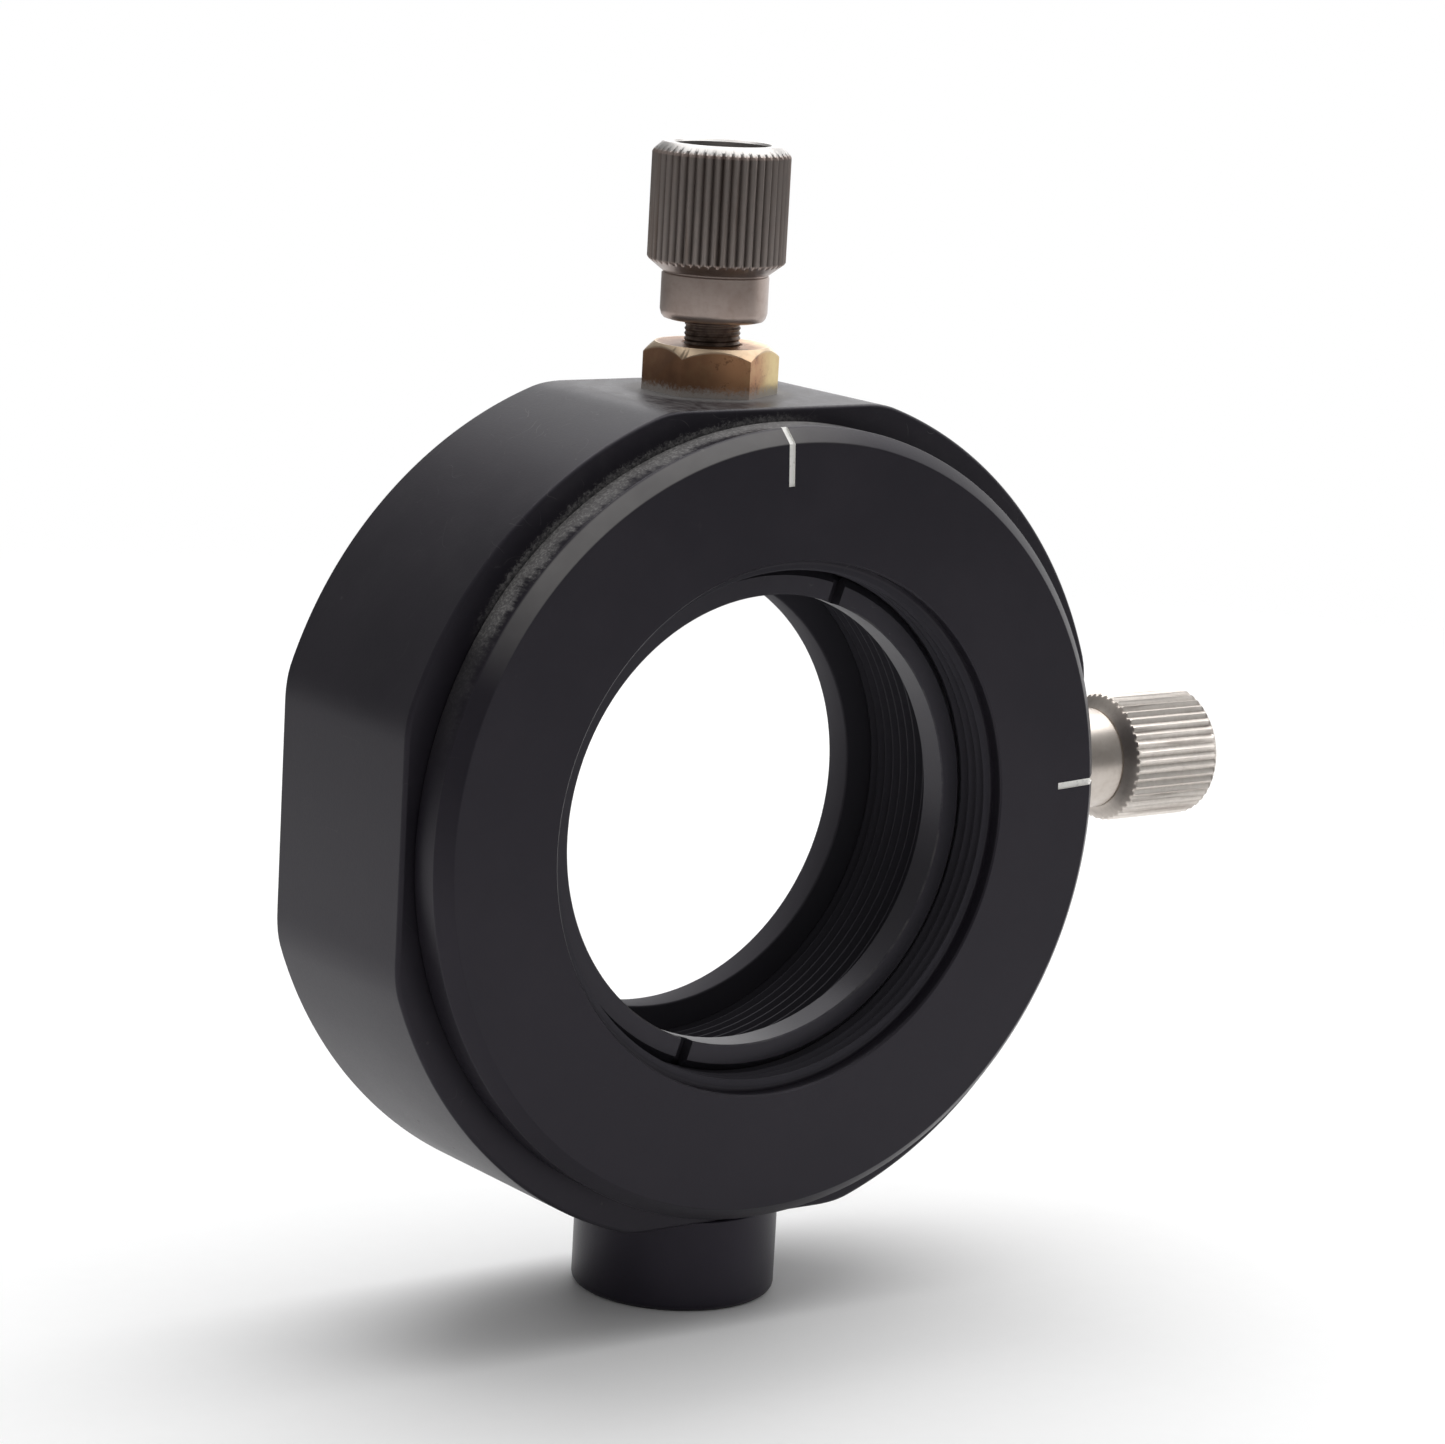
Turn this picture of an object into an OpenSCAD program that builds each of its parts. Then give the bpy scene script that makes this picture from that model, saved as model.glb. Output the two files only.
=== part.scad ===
// Translating lens mount for round optics, on a post.
//
// Millimetres, +Z up. The origin is the mouth of the post thread, in the middle
// of the post adapter's flat end. The optical axis runs along Y at axis_h, and
// the front of the mount faces -Y. "Depth" is measured along +Y from the front
// face of the lens cell, and "reach" is measured outwards from the optical axis.

/* [Optic] */
// Outside diameter of the lens thread
thread_d = 26.3; // [22:0.1:30]
// Height of the lens thread's ridges
thread_h = 0.33; // [0.2:0.01:0.4]
// Overlap of the retaining ring and the rear lip inside the thread
seat_w = 1.42; // [1:0.02:2.5]
// Height of the optical axis above the post adapter's flat end
axis_h = 25.4; // [24:0.1:40]
// Travel of the cell each way from its middle, on both axes
travel = 1; // [0.5:0.1:1.2]

/* [Lens cell] */
// Thickness of the front disc
disc_t = 2.4; // [2.2:0.1:3.5]
// Bevel round the front of the disc
disc_bevel = 0.7; // [0.2:0.05:0.9]
// Ring of metal on the disc's back outside its recess
disc_land = 1.25; // [1:0.05:3]
// Wall of the tube outside the lens thread
tube_wall = 1.45; // [1.35:0.05:2]
// Wall left under the tube's flats, where plungers and pads press
seat_wall = 1.1; // [1.05:0.05:1.2]
// Extra radius of the hub that runs in the guide ring
hub_step = 0.4; // [0.2:0.05:0.8]
// Wall left under the hub's two guide flats
hub_wall = 0.85; // [0.7:0.05:1]
// Thickness of the lip that the lens rests on
lip_t = 1.7; // [1:0.1:2.5]
// Bevel at the mouth of the lens thread
mouth_bevel = 0.1; // [0.05:0.05:0.3]
// Width of the index lines
index_w = 0.34; // [0.2:0.02:0.6]
// Length of the index lines on the disc's face
index_l = 2.1; // [1:0.1:3]
// Depth of the index lines
index_cut = 0.08; // [0.04:0.01:0.15]
// Turn of the index lines about the optical axis
index_turn = 3; // [0:0.5:6]

/* [Retaining ring] */
// Depth of the ring below the disc's face
ring_depth = 2.25; // [1.5:0.05:4]
// Thickness of the ring
ring_t = 1.6; // [1:0.1:2.5]
// Bevel round the ring's front edge
ring_bevel = 0.4; // [0.1:0.05:0.5]
// Width of the ring's two spanner slots
ring_slot_w = 0.75; // [0.5:0.05:1.2]
// Depth of the ring's spanner slots
ring_slot_h = 0.7; // [0.4:0.05:0.9]
// Turn of the ring's slots about the optical axis
ring_turn = 71; // [0:1:90]

/* [Guide ring] */
// Thickness of the guide ring
guide_t = 2; // [1.8:0.1:2.6]
// Wall of the guide ring above and below its opening
guide_wall = 1.1; // [0.8:0.05:2]
// Rise of the guide ring's round sides past its top and bottom flats
guide_round = 0.5; // [0.3:0.05:1]

/* [Housing] */
// Depth of the adjusters' axes below the housing's front face
adjuster_depth = 6.1; // [5.9:0.1:9]
// Depth of the post's axis below the housing's front face
post_depth = 5.15; // [5:0.05:9]
// Wall left round the rear cover at the flats
body_wall = 1; // [0.8:0.05:3]
// Depth of the four flats cut into the round body
flat_cut = 0.95; // [0.6:0.05:1.2]
// Bevel on the housing's round edges
body_bevel = 0.25; // [0.1:0.05:0.4]
// Wall between the adjusters' bushings and the rear chamber
web_wall = 0.4; // [0.3:0.05:1]

/* [Rear cover] */
// Thickness of the rear cover
cover_t = 1.4; // [1:0.1:2]
// Width of the cover's rim outside the rear chamber
cover_step = 0.5; // [0.3:0.05:0.8]
// Free space between the cell and the cover
cover_gap = 0.5; // [0.3:0.05:1]
// Opening of the cover inside the cell's tube radius
cover_overlap = 0.4; // [0:0.05:0.6]
// Width of the spanner slots in the cover and the keeper
spanner_w = 1.5; // [1:0.1:2]

/* [Keeper] */
// Thickness of the keeper ring
keeper_t = 0.6; // [0.5:0.05:1]
// Width of the keeper ring past the housing's bore
keeper_lap = 1.4; // [1.2:0.05:2]
// Space for the wave spring
wave_room = 0.5; // [0.45:0.05:0.8]
// Thickness of the wave spring's strip
wave_strip = 0.15; // [0.1:0.01:0.2]
// Number of waves
wave_count = 6; // [3:1:9]

/* [Adjusters] */
// Diameter of the adjusting screws
screw_d = 2.8; // [2.4:0.1:3.2]
// Across-flats size of the bushings' hexagon
hex_af = 5.9; // [5.5:0.1:7]
// Height of the bushings' hexagon
hex_h = 2.4; // [1.5:0.1:4]
// Diameter of the bushings' threaded shank
shank_d = 4; // [3.7:0.1:4.4]
// Diameter of the balls in the screws' tips
ball_d = 1.6; // [1.2:0.1:1.8]
// Diameter of the pads that the balls press on
pad_d = 4; // [3.6:0.1:4.2]
// Thickness of the pads
pad_t = 0.8; // [0.6:0.05:0.9]
// Height of the pads above the tube's flats
pad_rise = 0.1; // [0.05:0.05:0.3]
// Across-flats size of the hexagon socket in the screws' outer ends
socket_af = 1.5; // [1.2:0.1:1.8]
// Depth of that socket
socket_h = 1.2; // [0.8:0.1:2]

/* [Knobs] */
// Outside diameter of the knobs over the knurl
knob_d = 6.9; // [6:0.1:10]
// Height of the knurled part, bevels included
knob_h = 6.35; // [4:0.05:12]
// Bevel at the knobs' outer ends
knob_bevel = 0.5; // [0.2:0.05:0.8]
// Height of the cone from the collar up to the knurl
cone_h = 0.6; // [0.3:0.05:1]
// Number of knurl ridges
knurl_n = 45; // [24:1:60]
// Depth of the knurl
knurl_cut = 0.17; // [0.1:0.01:0.25]
// Diameter of the smooth collar
collar_d = 5.36; // [4.6:0.02:5.6]
// Height of the smooth collar
collar_h = 2.4; // [1:0.1:4]
// Bevel under the collar
collar_bevel = 0.35; // [0.1:0.05:0.6]
// Diameter of the recess in the knobs' outer ends
recess_d = 4.7; // [3.6:0.1:5.2]
// Depth of that recess
recess_h = 3; // [1:0.1:4]
// Stretch of the screw that stands up in the recess
screw_stand = 0.9; // [0.2:0.1:1]

/* [Return springs] */
// Outside diameter of the plungers
plunger_d = 2.6; // [2.4:0.1:2.8]
// Wall of the plungers round their springs
plunger_wall = 0.3; // [0.2:0.05:0.4]
// Thickness of the plungers' noses
plunger_nose = 0.8; // [0.5:0.05:1.2]
// Wire diameter of the return springs
wire_d = 0.25; // [0.15:0.01:0.3]
// Number of turns in a return spring
spring_turns = 8; // [5:1:12]

/* [Post adapter] */
// Diameter of the post adapter
adapter_d = 10.4; // [9.4:0.1:11.5]
// Rounding at the adapter's lower edge
adapter_round = 0.4; // [0.1:0.05:0.6]
// Diameter of the adapter's spigot in the housing
spigot_d = 8; // [6.5:0.1:8.5]
// Length of that spigot
spigot_h = 1.05; // [0.8:0.05:1.4]
// Wall between the spigot and the bottom spring's pocket
pocket_floor = 0.7; // [0.5:0.05:1.2]
// Diameter of the post thread
post_thread_d = 4.2; // [3.4:0.1:6]
// Plain metal from the end of the post thread up to the housing
post_thread_stop = 0.15; // [0.1:0.05:0.5]

/* [Clearances] */
// Radial clearance of a fit that slides
slide_fit = 0.02; // [0.01:0.01:0.04]
// Clearance between flat faces that pass each other
face_gap = 0.1; // [0.05:0.01:0.2]
// Clearance all round a part that floats
float_gap = 0.1; // [0.05:0.01:0.2]
// Clearance in a glued or threaded joint
joint_fit = 0.01; // [0.005:0.005:0.02]

/* [Hidden] */

$fn = 96;
// Cuts run this far past a face
over = 0.5;

// Reaches, from the optical axis outwards
thread_r = thread_d / 2;
crest_r = thread_r - thread_h;
clear_r = crest_r - seat_w;
seat_reach = thread_r + seat_wall;
tube_r = thread_r + tube_wall;
hub_flat = thread_r + hub_wall;
hub_r = tube_r + hub_step;
// The cell may stand at full travel on both axes at once
diagonal = travel * sqrt(2);
cavity_r = tube_r + diagonal + 2 * float_gap;
guide_open_r = hub_r + travel + float_gap;
guide_flat = guide_open_r + guide_wall;
guide_r = guide_flat + guide_round;
// The guide ring's corners at full travel of the cell
disc_recess_r = sqrt(pow(guide_r, 2) + 2 * travel * guide_flat + pow(travel, 2)) + face_gap / 2;
disc_r = disc_recess_r + disc_land;
keeper_r = cavity_r + keeper_lap;
chamber_r = keeper_r + diagonal + float_gap;
cover_r = chamber_r + cover_step;
cover_open_r = tube_r - cover_overlap;
flat_reach = cover_r + body_wall;
body_r = flat_reach + flat_cut;

// Depths, from the cell's front face backwards
housing_front = disc_t + face_gap;
adjuster_s = housing_front + adjuster_depth;
post_s = housing_front + post_depth;
guide_mid = disc_t + face_gap / 2;
guide_front = guide_mid - guide_t / 2;
guide_back = guide_mid + guide_t / 2;
disc_recess_s = guide_front - face_gap / 2;
housing_recess_s = guide_back + face_gap / 2;
web_back = adjuster_s + shank_d / 2 + web_wall;
keeper_front = web_back + wave_room;
cell_back = keeper_front + keeper_t;
lip_front = cell_back - lip_t;
cover_front = cell_back + cover_gap;
housing_back = cover_front + cover_t;

// Stations along an adjuster, by reach
pad_top = seat_reach + pad_rise;
ball_mid = pad_top + slide_fit + ball_d / 2;
screw_tip = ball_mid + ball_d / 8;
bushing_tip = cavity_r + float_gap;
hex_top = flat_reach + hex_h;
knob_base = hex_top + travel + 1.5 * float_gap;
collar_top = knob_base + collar_h;
knob_top = collar_top + knob_h;
recess_floor = knob_top - recess_h;
screw_end = recess_floor + screw_stand;

// Stations along a return spring, by reach
pocket_end = flat_reach - spigot_h - pocket_floor;
plunger_end = pocket_end - travel - 2.5 * float_gap;
spring_start = seat_reach + slide_fit + plunger_nose;
spring_r = plunger_d / 2 - plunger_wall - slide_fit - wire_d / 2;

// Puts a part drawn along +Z, by depth, on the optical axis.
// Its x axis stays sideways and its y axis points down.
module on_axis() {
    translate([0, -post_s, axis_h]) rotate([-90, 0, 0]) children();
}

// Puts a part drawn along +Z, by reach, on an adjuster or spring axis
module at_top() {
    translate([0, adjuster_depth - post_depth, axis_h]) children();
}
module at_side() {
    translate([0, adjuster_depth - post_depth, axis_h]) rotate([0, 90, 0]) children();
}
module at_bottom() {
    translate([0, adjuster_depth - post_depth, axis_h]) rotate([180, 0, 0]) children();
}
module at_left() {
    translate([0, adjuster_depth - post_depth, axis_h]) rotate([0, -90, 0]) children();
}

// Ring between two radii, from one height to another
module ring(inner_r, outer_r, from, to) {
    rotate_extrude() translate([inner_r, from]) square([outer_r - inner_r, to - from]);
}

// Hole from one height to another
module bore(r, from, to) {
    translate([0, 0, from]) cylinder(r = r, h = to - from);
}

// Square region cut down to a slab in y, used for flats
module slab(half_y, from, to) {
    size = 4 * body_r;
    translate([-size / 2, -half_y, from]) cube([size, 2 * half_y, to - from]);
}

// Two slots across a ring, for a spanner
module spanner_slots(width, r, from, to) {
    translate([-r, -width / 2, from]) cube([2 * r, width, to - from]);
}

// ---- housing ----

// The round body with its edges bevelled
module body_round() {
    rotate_extrude() polygon([
        [0, housing_front], [body_r - body_bevel, housing_front],
        [body_r, housing_front + body_bevel], [body_r, housing_back - body_bevel],
        [body_r - body_bevel, housing_back], [0, housing_back]]);
}

// Pocket in the front face that guides the guide ring sideways
module guide_pocket() {
    reach = travel + face_gap / 2;
    intersection() {
        union() {
            for (side = [-1, 1])
                translate([side * reach, 0, 0])
                    bore(guide_r, housing_front - over, housing_recess_s);
            translate([-reach, -guide_r, housing_front - over])
                cube([2 * reach, 2 * guide_r, housing_recess_s - housing_front + over]);
        }
        slab(guide_flat + slide_fit, housing_front - 2 * over, housing_recess_s + over);
    }
}

module housing() color([0.13, 0.13, 0.14]) {
    difference() {
        on_axis() difference() {
            intersection() {
                body_round();
                translate([-flat_reach, -flat_reach, housing_front - over])
                    cube([2 * flat_reach, 2 * flat_reach, housing_back - housing_front + 2 * over]);
            }
            bore(cavity_r, housing_front - over, housing_back);
            bore(chamber_r, web_back, housing_back);
            bore(cover_r, cover_front, housing_back + over);
            guide_pocket();
        }
        at_top() bore(shank_d / 2 + joint_fit, cavity_r - over, flat_reach + over);
        at_side() bore(shank_d / 2 + joint_fit, cavity_r - over, flat_reach + over);
        at_bottom() bore(plunger_d / 2 + slide_fit, cavity_r - over, pocket_end);
        at_left() bore(plunger_d / 2 + slide_fit, cavity_r - over, pocket_end);
        bore(spigot_d / 2 + joint_fit, axis_h - flat_reach - over, axis_h - flat_reach + spigot_h + joint_fit);
    }
}

module rear_cover() color([0.12, 0.12, 0.13]) {
    on_axis() difference() {
        ring(cover_open_r, cover_r - joint_fit, cover_front, housing_back);
        difference() {
            spanner_slots(spanner_w, cover_r + over, housing_back - cover_t / 2, housing_back + over);
            bore(chamber_r - spanner_w, cover_front, housing_back + 2 * over);
        }
    }
}

module post_adapter() color([0.12, 0.12, 0.13]) {
    top = axis_h - flat_reach;
    difference() {
        rotate_extrude() difference() {
            union() {
                square([adapter_d / 2, top]);
                square([spigot_d / 2, top + spigot_h]);
            }
            translate([adapter_d / 2 - adapter_round, 0]) difference() {
                square(adapter_round);
                translate([0, adapter_round]) circle(adapter_round);
            }
        }
        bore(post_thread_d / 2, -over, top - post_thread_stop);
    }
}

// ---- lens cell ----

// Index line from the disc's bevel inwards along its face
module index_line() {
    shoulder = disc_r - disc_bevel;
    translate([shoulder - index_l, -index_w / 2, -over])
        cube([index_l + over, index_w, over + index_cut]);
    translate([shoulder, -index_w / 2, 0])
        rotate([0, 45, 0])
            translate([-index_cut, 0, -over])
                cube([disc_bevel * sqrt(2) + 2 * over, index_w, over + index_cut]);
}

// Flat on the tube for a plunger or a pad, as wide as the tube allows
module seat_flat(angle) {
    half = shank_d / 2 + web_wall;
    rotate([0, 0, angle])
        translate([seat_reach, -tube_r, adjuster_s - half])
            cube([tube_r, 2 * tube_r, 2 * half]);
}

module lens_cell() color([0.15, 0.15, 0.16]) {
    difference() {
        on_axis() difference() {
            union() {
                rotate_extrude() polygon([
                    [crest_r, 0], [disc_r - disc_bevel, 0], [disc_r, disc_bevel],
                    [disc_r, disc_t], [disc_recess_r, disc_t], [disc_recess_r, disc_recess_s],
                    [tube_r, disc_recess_s], [tube_r, cell_back],
                    [clear_r, cell_back], [clear_r, lip_front], [crest_r, lip_front]]);
                intersection() {
                    ring(thread_r, hub_r, disc_recess_s, housing_recess_s);
                    rotate([0, 0, 90]) slab(hub_flat, 0, cell_back);
                }
            }
            // guide flats run the whole length of the hub
            difference() {
                bore(hub_r + over, disc_recess_s, housing_recess_s);
                rotate([0, 0, 90]) slab(hub_flat, 0, cell_back);
            }
            // ahead of the ring the thread is open to its outside diameter
            bore(thread_r, -over, ring_depth - face_gap);
            translate([0, 0, -over])
                cylinder(r1 = thread_r + mouth_bevel + over, r2 = thread_r, h = over + mouth_bevel);
            for (angle = [0, 90, 180, 270]) seat_flat(angle);
            for (angle = [0, -90]) rotate([0, 0, angle - index_turn]) index_line();
        }
        at_top() bore(pad_d / 2 + joint_fit, pad_top - pad_t, tube_r + over);
        at_side() bore(pad_d / 2 + joint_fit, pad_top - pad_t, tube_r + over);
    }
}

module retaining_ring() color([0.2, 0.2, 0.21]) {
    outer_r = crest_r - 2 * slide_fit;
    back = ring_depth + ring_t;
    on_axis() difference() {
        rotate_extrude() polygon([
            [clear_r, ring_depth], [outer_r - ring_bevel, ring_depth],
            [outer_r, ring_depth + ring_bevel], [outer_r, back], [clear_r, back]]);
        rotate([0, 0, -ring_turn])
            spanner_slots(ring_slot_w, outer_r + over, ring_depth - over, ring_depth + ring_slot_h);
    }
}

module keeper_ring() color([0.5, 0.5, 0.52]) {
    on_axis() difference() {
        ring(tube_r + joint_fit, keeper_r, keeper_front, cell_back);
        difference() {
            spanner_slots(spanner_w, keeper_r + over, keeper_front - over, cell_back + over);
            bore(keeper_r - spanner_w / 2, keeper_front - 2 * over, cell_back + 2 * over);
        }
    }
}

// Waved strip between the housing's web and the keeper
module wave_spring() color([0.72, 0.72, 0.74]) {
    steps = 12 * wave_count;
    inner_r = cavity_r + float_gap;
    outer_r = keeper_r - float_gap;
    swing = (wave_room - 2 * slide_fit - wave_strip) / 2;
    middle = web_back + wave_room / 2;
    points = [for (i = [0:steps - 1])
        let (a = 360 * i / steps, h = middle + swing * sin(360 * wave_count * i / steps))
        each [[inner_r * cos(a), inner_r * sin(a), h - wave_strip / 2],
              [outer_r * cos(a), outer_r * sin(a), h - wave_strip / 2],
              [outer_r * cos(a), outer_r * sin(a), h + wave_strip / 2],
              [inner_r * cos(a), inner_r * sin(a), h + wave_strip / 2]]];
    faces = [for (i = [0:steps - 1], k = [0:3]) let (n = (i + 1) % steps, m = (k + 1) % 4)
        each [[4 * i + k, 4 * i + m, 4 * n + m], [4 * i + k, 4 * n + m, 4 * n + k]]];
    on_axis() polyhedron(points, faces);
}

// Frame that slides sideways in the housing, with the cell's hub sliding up and down in it
module guide_ring() color([0.75, 0.62, 0.38]) {
    on_axis() difference() {
        intersection() {
            bore(guide_r, guide_front, guide_back);
            slab(guide_flat, guide_front - over, guide_back + over);
        }
        intersection() {
            bore(guide_open_r, guide_front - over, guide_back + over);
            rotate([0, 0, 90]) slab(hub_flat + slide_fit, guide_front - 2 * over, guide_back + 2 * over);
        }
    }
}

// ---- adjusters ----

module bushing() {
    corner_r = hex_af / sqrt(3);
    bevel = corner_r - hex_af / 2 + float_gap;
    difference() {
        union() {
            bore(shank_d / 2, bushing_tip, flat_reach);
            intersection() {
                rotate([0, 0, 30]) translate([0, 0, flat_reach])
                    cylinder(r = corner_r, h = hex_h, $fn = 6);
                rotate_extrude() polygon([
                    [0, flat_reach], [corner_r, flat_reach], [corner_r, hex_top - bevel],
                    [corner_r - bevel, hex_top], [0, hex_top]]);
            }
        }
        bore(screw_d / 2 + slide_fit, bushing_tip - over, hex_top + over);
    }
}

module screw() {
    bevel = screw_d / 16;
    difference() {
        rotate_extrude() polygon([
            [0, screw_tip], [screw_d / 2 - bevel, screw_tip], [screw_d / 2, screw_tip + bevel],
            [screw_d / 2, screw_end - bevel], [screw_d / 2 - bevel, screw_end], [0, screw_end]]);
        // seat of the ball
        bore(ball_d / 2 + slide_fit, screw_tip - over, ball_mid + ball_d / 2 + slide_fit);
        translate([0, 0, screw_end - socket_h])
            cylinder(r = socket_af / sqrt(3), h = socket_h + over, $fn = 6);
    }
}

module knob() {
    r = knob_d / 2;
    root_r = r - knurl_cut;
    collar_r = collar_d / 2;
    tooth = 360 / knurl_n;
    difference() {
        union() {
            // knurled part
            intersection() {
                rotate_extrude() polygon([
                    [0, collar_top], [collar_r, collar_top], [r, collar_top + cone_h],
                    [r, knob_top - knob_bevel], [r - knob_bevel, knob_top], [0, knob_top]]);
                translate([0, 0, collar_top]) linear_extrude(knob_h) polygon([
                    for (i = [0:knurl_n - 1], k = [0, 0.2, 0.5, 0.7])
                        let (a = (i + k) * tooth, p = k < 0.4 ? r : root_r)
                            [p * cos(a), p * sin(a)]]);
            }
            // smooth collar
            rotate_extrude() polygon([
                [0, knob_base], [collar_r - collar_bevel, knob_base],
                [collar_r, knob_base + collar_bevel], [collar_r, collar_top], [0, collar_top]]);
        }
        bore(screw_d / 2 + joint_fit, knob_base - over, knob_top);
        bore(recess_d / 2, recess_floor, knob_top + over);
    }
}

module ball() {
    translate([0, 0, ball_mid]) sphere(d = ball_d);
}

module pad() {
    bore(pad_d / 2, pad_top - pad_t, pad_top);
}

module top_bushing() color([0.62, 0.46, 0.26]) at_top() bushing();
module top_screw() color([0.3, 0.28, 0.27]) at_top() screw();
module top_knob() color([0.55, 0.53, 0.51]) at_top() knob();
module top_ball() color([0.8, 0.8, 0.82]) at_top() ball();
module top_pad() color([0.7, 0.7, 0.72]) at_top() pad();

module side_bushing() color([0.62, 0.46, 0.26]) at_side() bushing();
module side_screw() color([0.3, 0.28, 0.27]) at_side() screw();
module side_knob() color([0.62, 0.6, 0.58]) at_side() knob();
module side_ball() color([0.8, 0.8, 0.82]) at_side() ball();
module side_pad() color([0.7, 0.7, 0.72]) at_side() pad();

// ---- return springs ----

// Cup with a bevelled nose that presses on the tube's flat
module plunger() {
    r = plunger_d / 2;
    nose = seat_reach + slide_fit;
    bevel = plunger_nose / 3;
    difference() {
        rotate_extrude() polygon([
            [0, nose], [r - bevel, nose], [r, nose + bevel], [r, plunger_end], [0, plunger_end]]);
        bore(r - plunger_wall, spring_start, plunger_end + over);
    }
}

// Coil with closed ends, swept along its helix
module coil() {
    steps = 16 * spring_turns;
    sides = 6;
    first = spring_start + slide_fit + wire_d / 2;
    last = pocket_end - slide_fit - wire_d / 2;
    points = [for (i = [0:steps]) let (a = 360 * spring_turns * i / steps)
        for (k = [0:sides - 1]) let (b = 360 * k / sides, r = spring_r + wire_d / 2 * cos(b))
            [r * cos(a), r * sin(a), first + (last - first) * i / steps + wire_d / 2 * sin(b)]];
    walls = [for (i = [0:steps - 1], k = [0:sides - 1]) let (m = (k + 1) % sides)
        each [[i * sides + k, (i + 1) * sides + m, i * sides + m],
              [i * sides + k, (i + 1) * sides + k, (i + 1) * sides + m]]];
    start_cap = [for (k = [1:sides - 2]) [0, k, k + 1]];
    end_cap = [for (k = [1:sides - 2]) [steps * sides, steps * sides + k + 1, steps * sides + k]];
    polyhedron(points, concat(walls, start_cap, end_cap));
}

module bottom_spring() color([0.7, 0.7, 0.72]) at_bottom() coil();
module bottom_plunger() color([0.72, 0.6, 0.36]) at_bottom() plunger();
module left_spring() color([0.7, 0.7, 0.72]) at_left() coil();
module left_plunger() color([0.72, 0.6, 0.36]) at_left() plunger();

housing();
rear_cover();
post_adapter();
lens_cell();
retaining_ring();
keeper_ring();
wave_spring();
guide_ring();
top_bushing();
top_screw();
top_knob();
top_ball();
top_pad();
side_bushing();
side_screw();
side_knob();
side_ball();
side_pad();
bottom_spring();
bottom_plunger();
left_spring();
left_plunger();
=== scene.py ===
"""Translating lens mount for round optics, built up and finished for rendering.

Parts are made on a bench, in millimetres, with their turning axis along Z, and
are then seated on one of the mount's axes. "Depth" runs backwards from the lens
cell's front face, and "reach" runs outwards from the optical axis.
"""

from __future__ import annotations

import logging
import math
import random
from dataclasses import dataclass, field, replace
from enum import Enum
from typing import Any, Callable, Iterable, Mapping, NamedTuple, Sequence, Union

import bmesh
import bpy
from mathutils import Euler, Matrix, Vector


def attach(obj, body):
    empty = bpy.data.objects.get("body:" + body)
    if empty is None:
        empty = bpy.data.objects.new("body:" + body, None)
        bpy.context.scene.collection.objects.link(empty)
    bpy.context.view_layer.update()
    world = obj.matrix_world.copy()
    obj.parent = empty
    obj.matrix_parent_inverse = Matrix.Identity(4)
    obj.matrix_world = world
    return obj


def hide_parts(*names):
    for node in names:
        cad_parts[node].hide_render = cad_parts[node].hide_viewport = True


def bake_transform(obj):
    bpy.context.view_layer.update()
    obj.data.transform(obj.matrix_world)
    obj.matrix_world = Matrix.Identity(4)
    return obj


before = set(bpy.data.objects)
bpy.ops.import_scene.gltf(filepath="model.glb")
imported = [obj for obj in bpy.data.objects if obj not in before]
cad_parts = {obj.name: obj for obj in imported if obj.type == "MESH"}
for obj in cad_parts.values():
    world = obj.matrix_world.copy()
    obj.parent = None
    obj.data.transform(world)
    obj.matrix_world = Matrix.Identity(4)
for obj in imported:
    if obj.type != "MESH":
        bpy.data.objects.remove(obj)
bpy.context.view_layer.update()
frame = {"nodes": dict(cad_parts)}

MM = 0.001
Profile = Sequence[tuple[float, float]]
Colour = tuple[float, float, float]
log = logging.getLogger("lens_mount")

# On the bench, in millimetres
WELD = 1e-5  # points nearer than this become one
NEAR = 1e-3  # how close to a size still counts as on it
FIT = 0.01  # room between two pieces that are joined
RELIEF = 0.02  # how far a bore stands clear of its thread
OVERCUT = 1.0  # how far a cutter stands out of what it cuts


# ---------------------------------------------------------------- layout


class Axis(Enum):
    """The lines of the mount on which its turned parts sit."""

    OPTIC = "optic"
    TOP = "top"
    SIDE = "side"
    BOTTOM = "bottom"
    LEFT = "left"
    POST = "post"


@dataclass(frozen=True)
class Layout:
    """Where the axes lie, in millimetres from the mouth of the post thread."""

    optic_height: float = 25.4
    post_depth: float = 7.65
    adjuster_y: float = 0.95

    def seat(self, axis: Axis) -> Matrix:
        """Gives the place of a part that was made on the bench.

        Args:
            axis: The line that the bench's Z axis becomes.

        Returns:
            The matrix, in millimetres, from the bench to the mount.
        """
        if axis is Axis.POST:
            return Matrix.Identity(4)
        if axis is Axis.OPTIC:
            turn = Matrix.Rotation(math.radians(-90), 4, "X")
            return Matrix.Translation((0, -self.post_depth, self.optic_height)) @ turn
        turn = {
            Axis.TOP: Matrix.Identity(4),
            Axis.SIDE: Matrix.Rotation(math.radians(90), 4, "Y"),
            Axis.BOTTOM: Matrix.Rotation(math.radians(180), 4, "X"),
            Axis.LEFT: Matrix.Rotation(math.radians(-90), 4, "Y"),
        }[axis]
        return Matrix.Translation((0, self.adjuster_y, self.optic_height)) @ turn


LAYOUT = Layout()


# ---------------------------------------------------------------- shader maths


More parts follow.
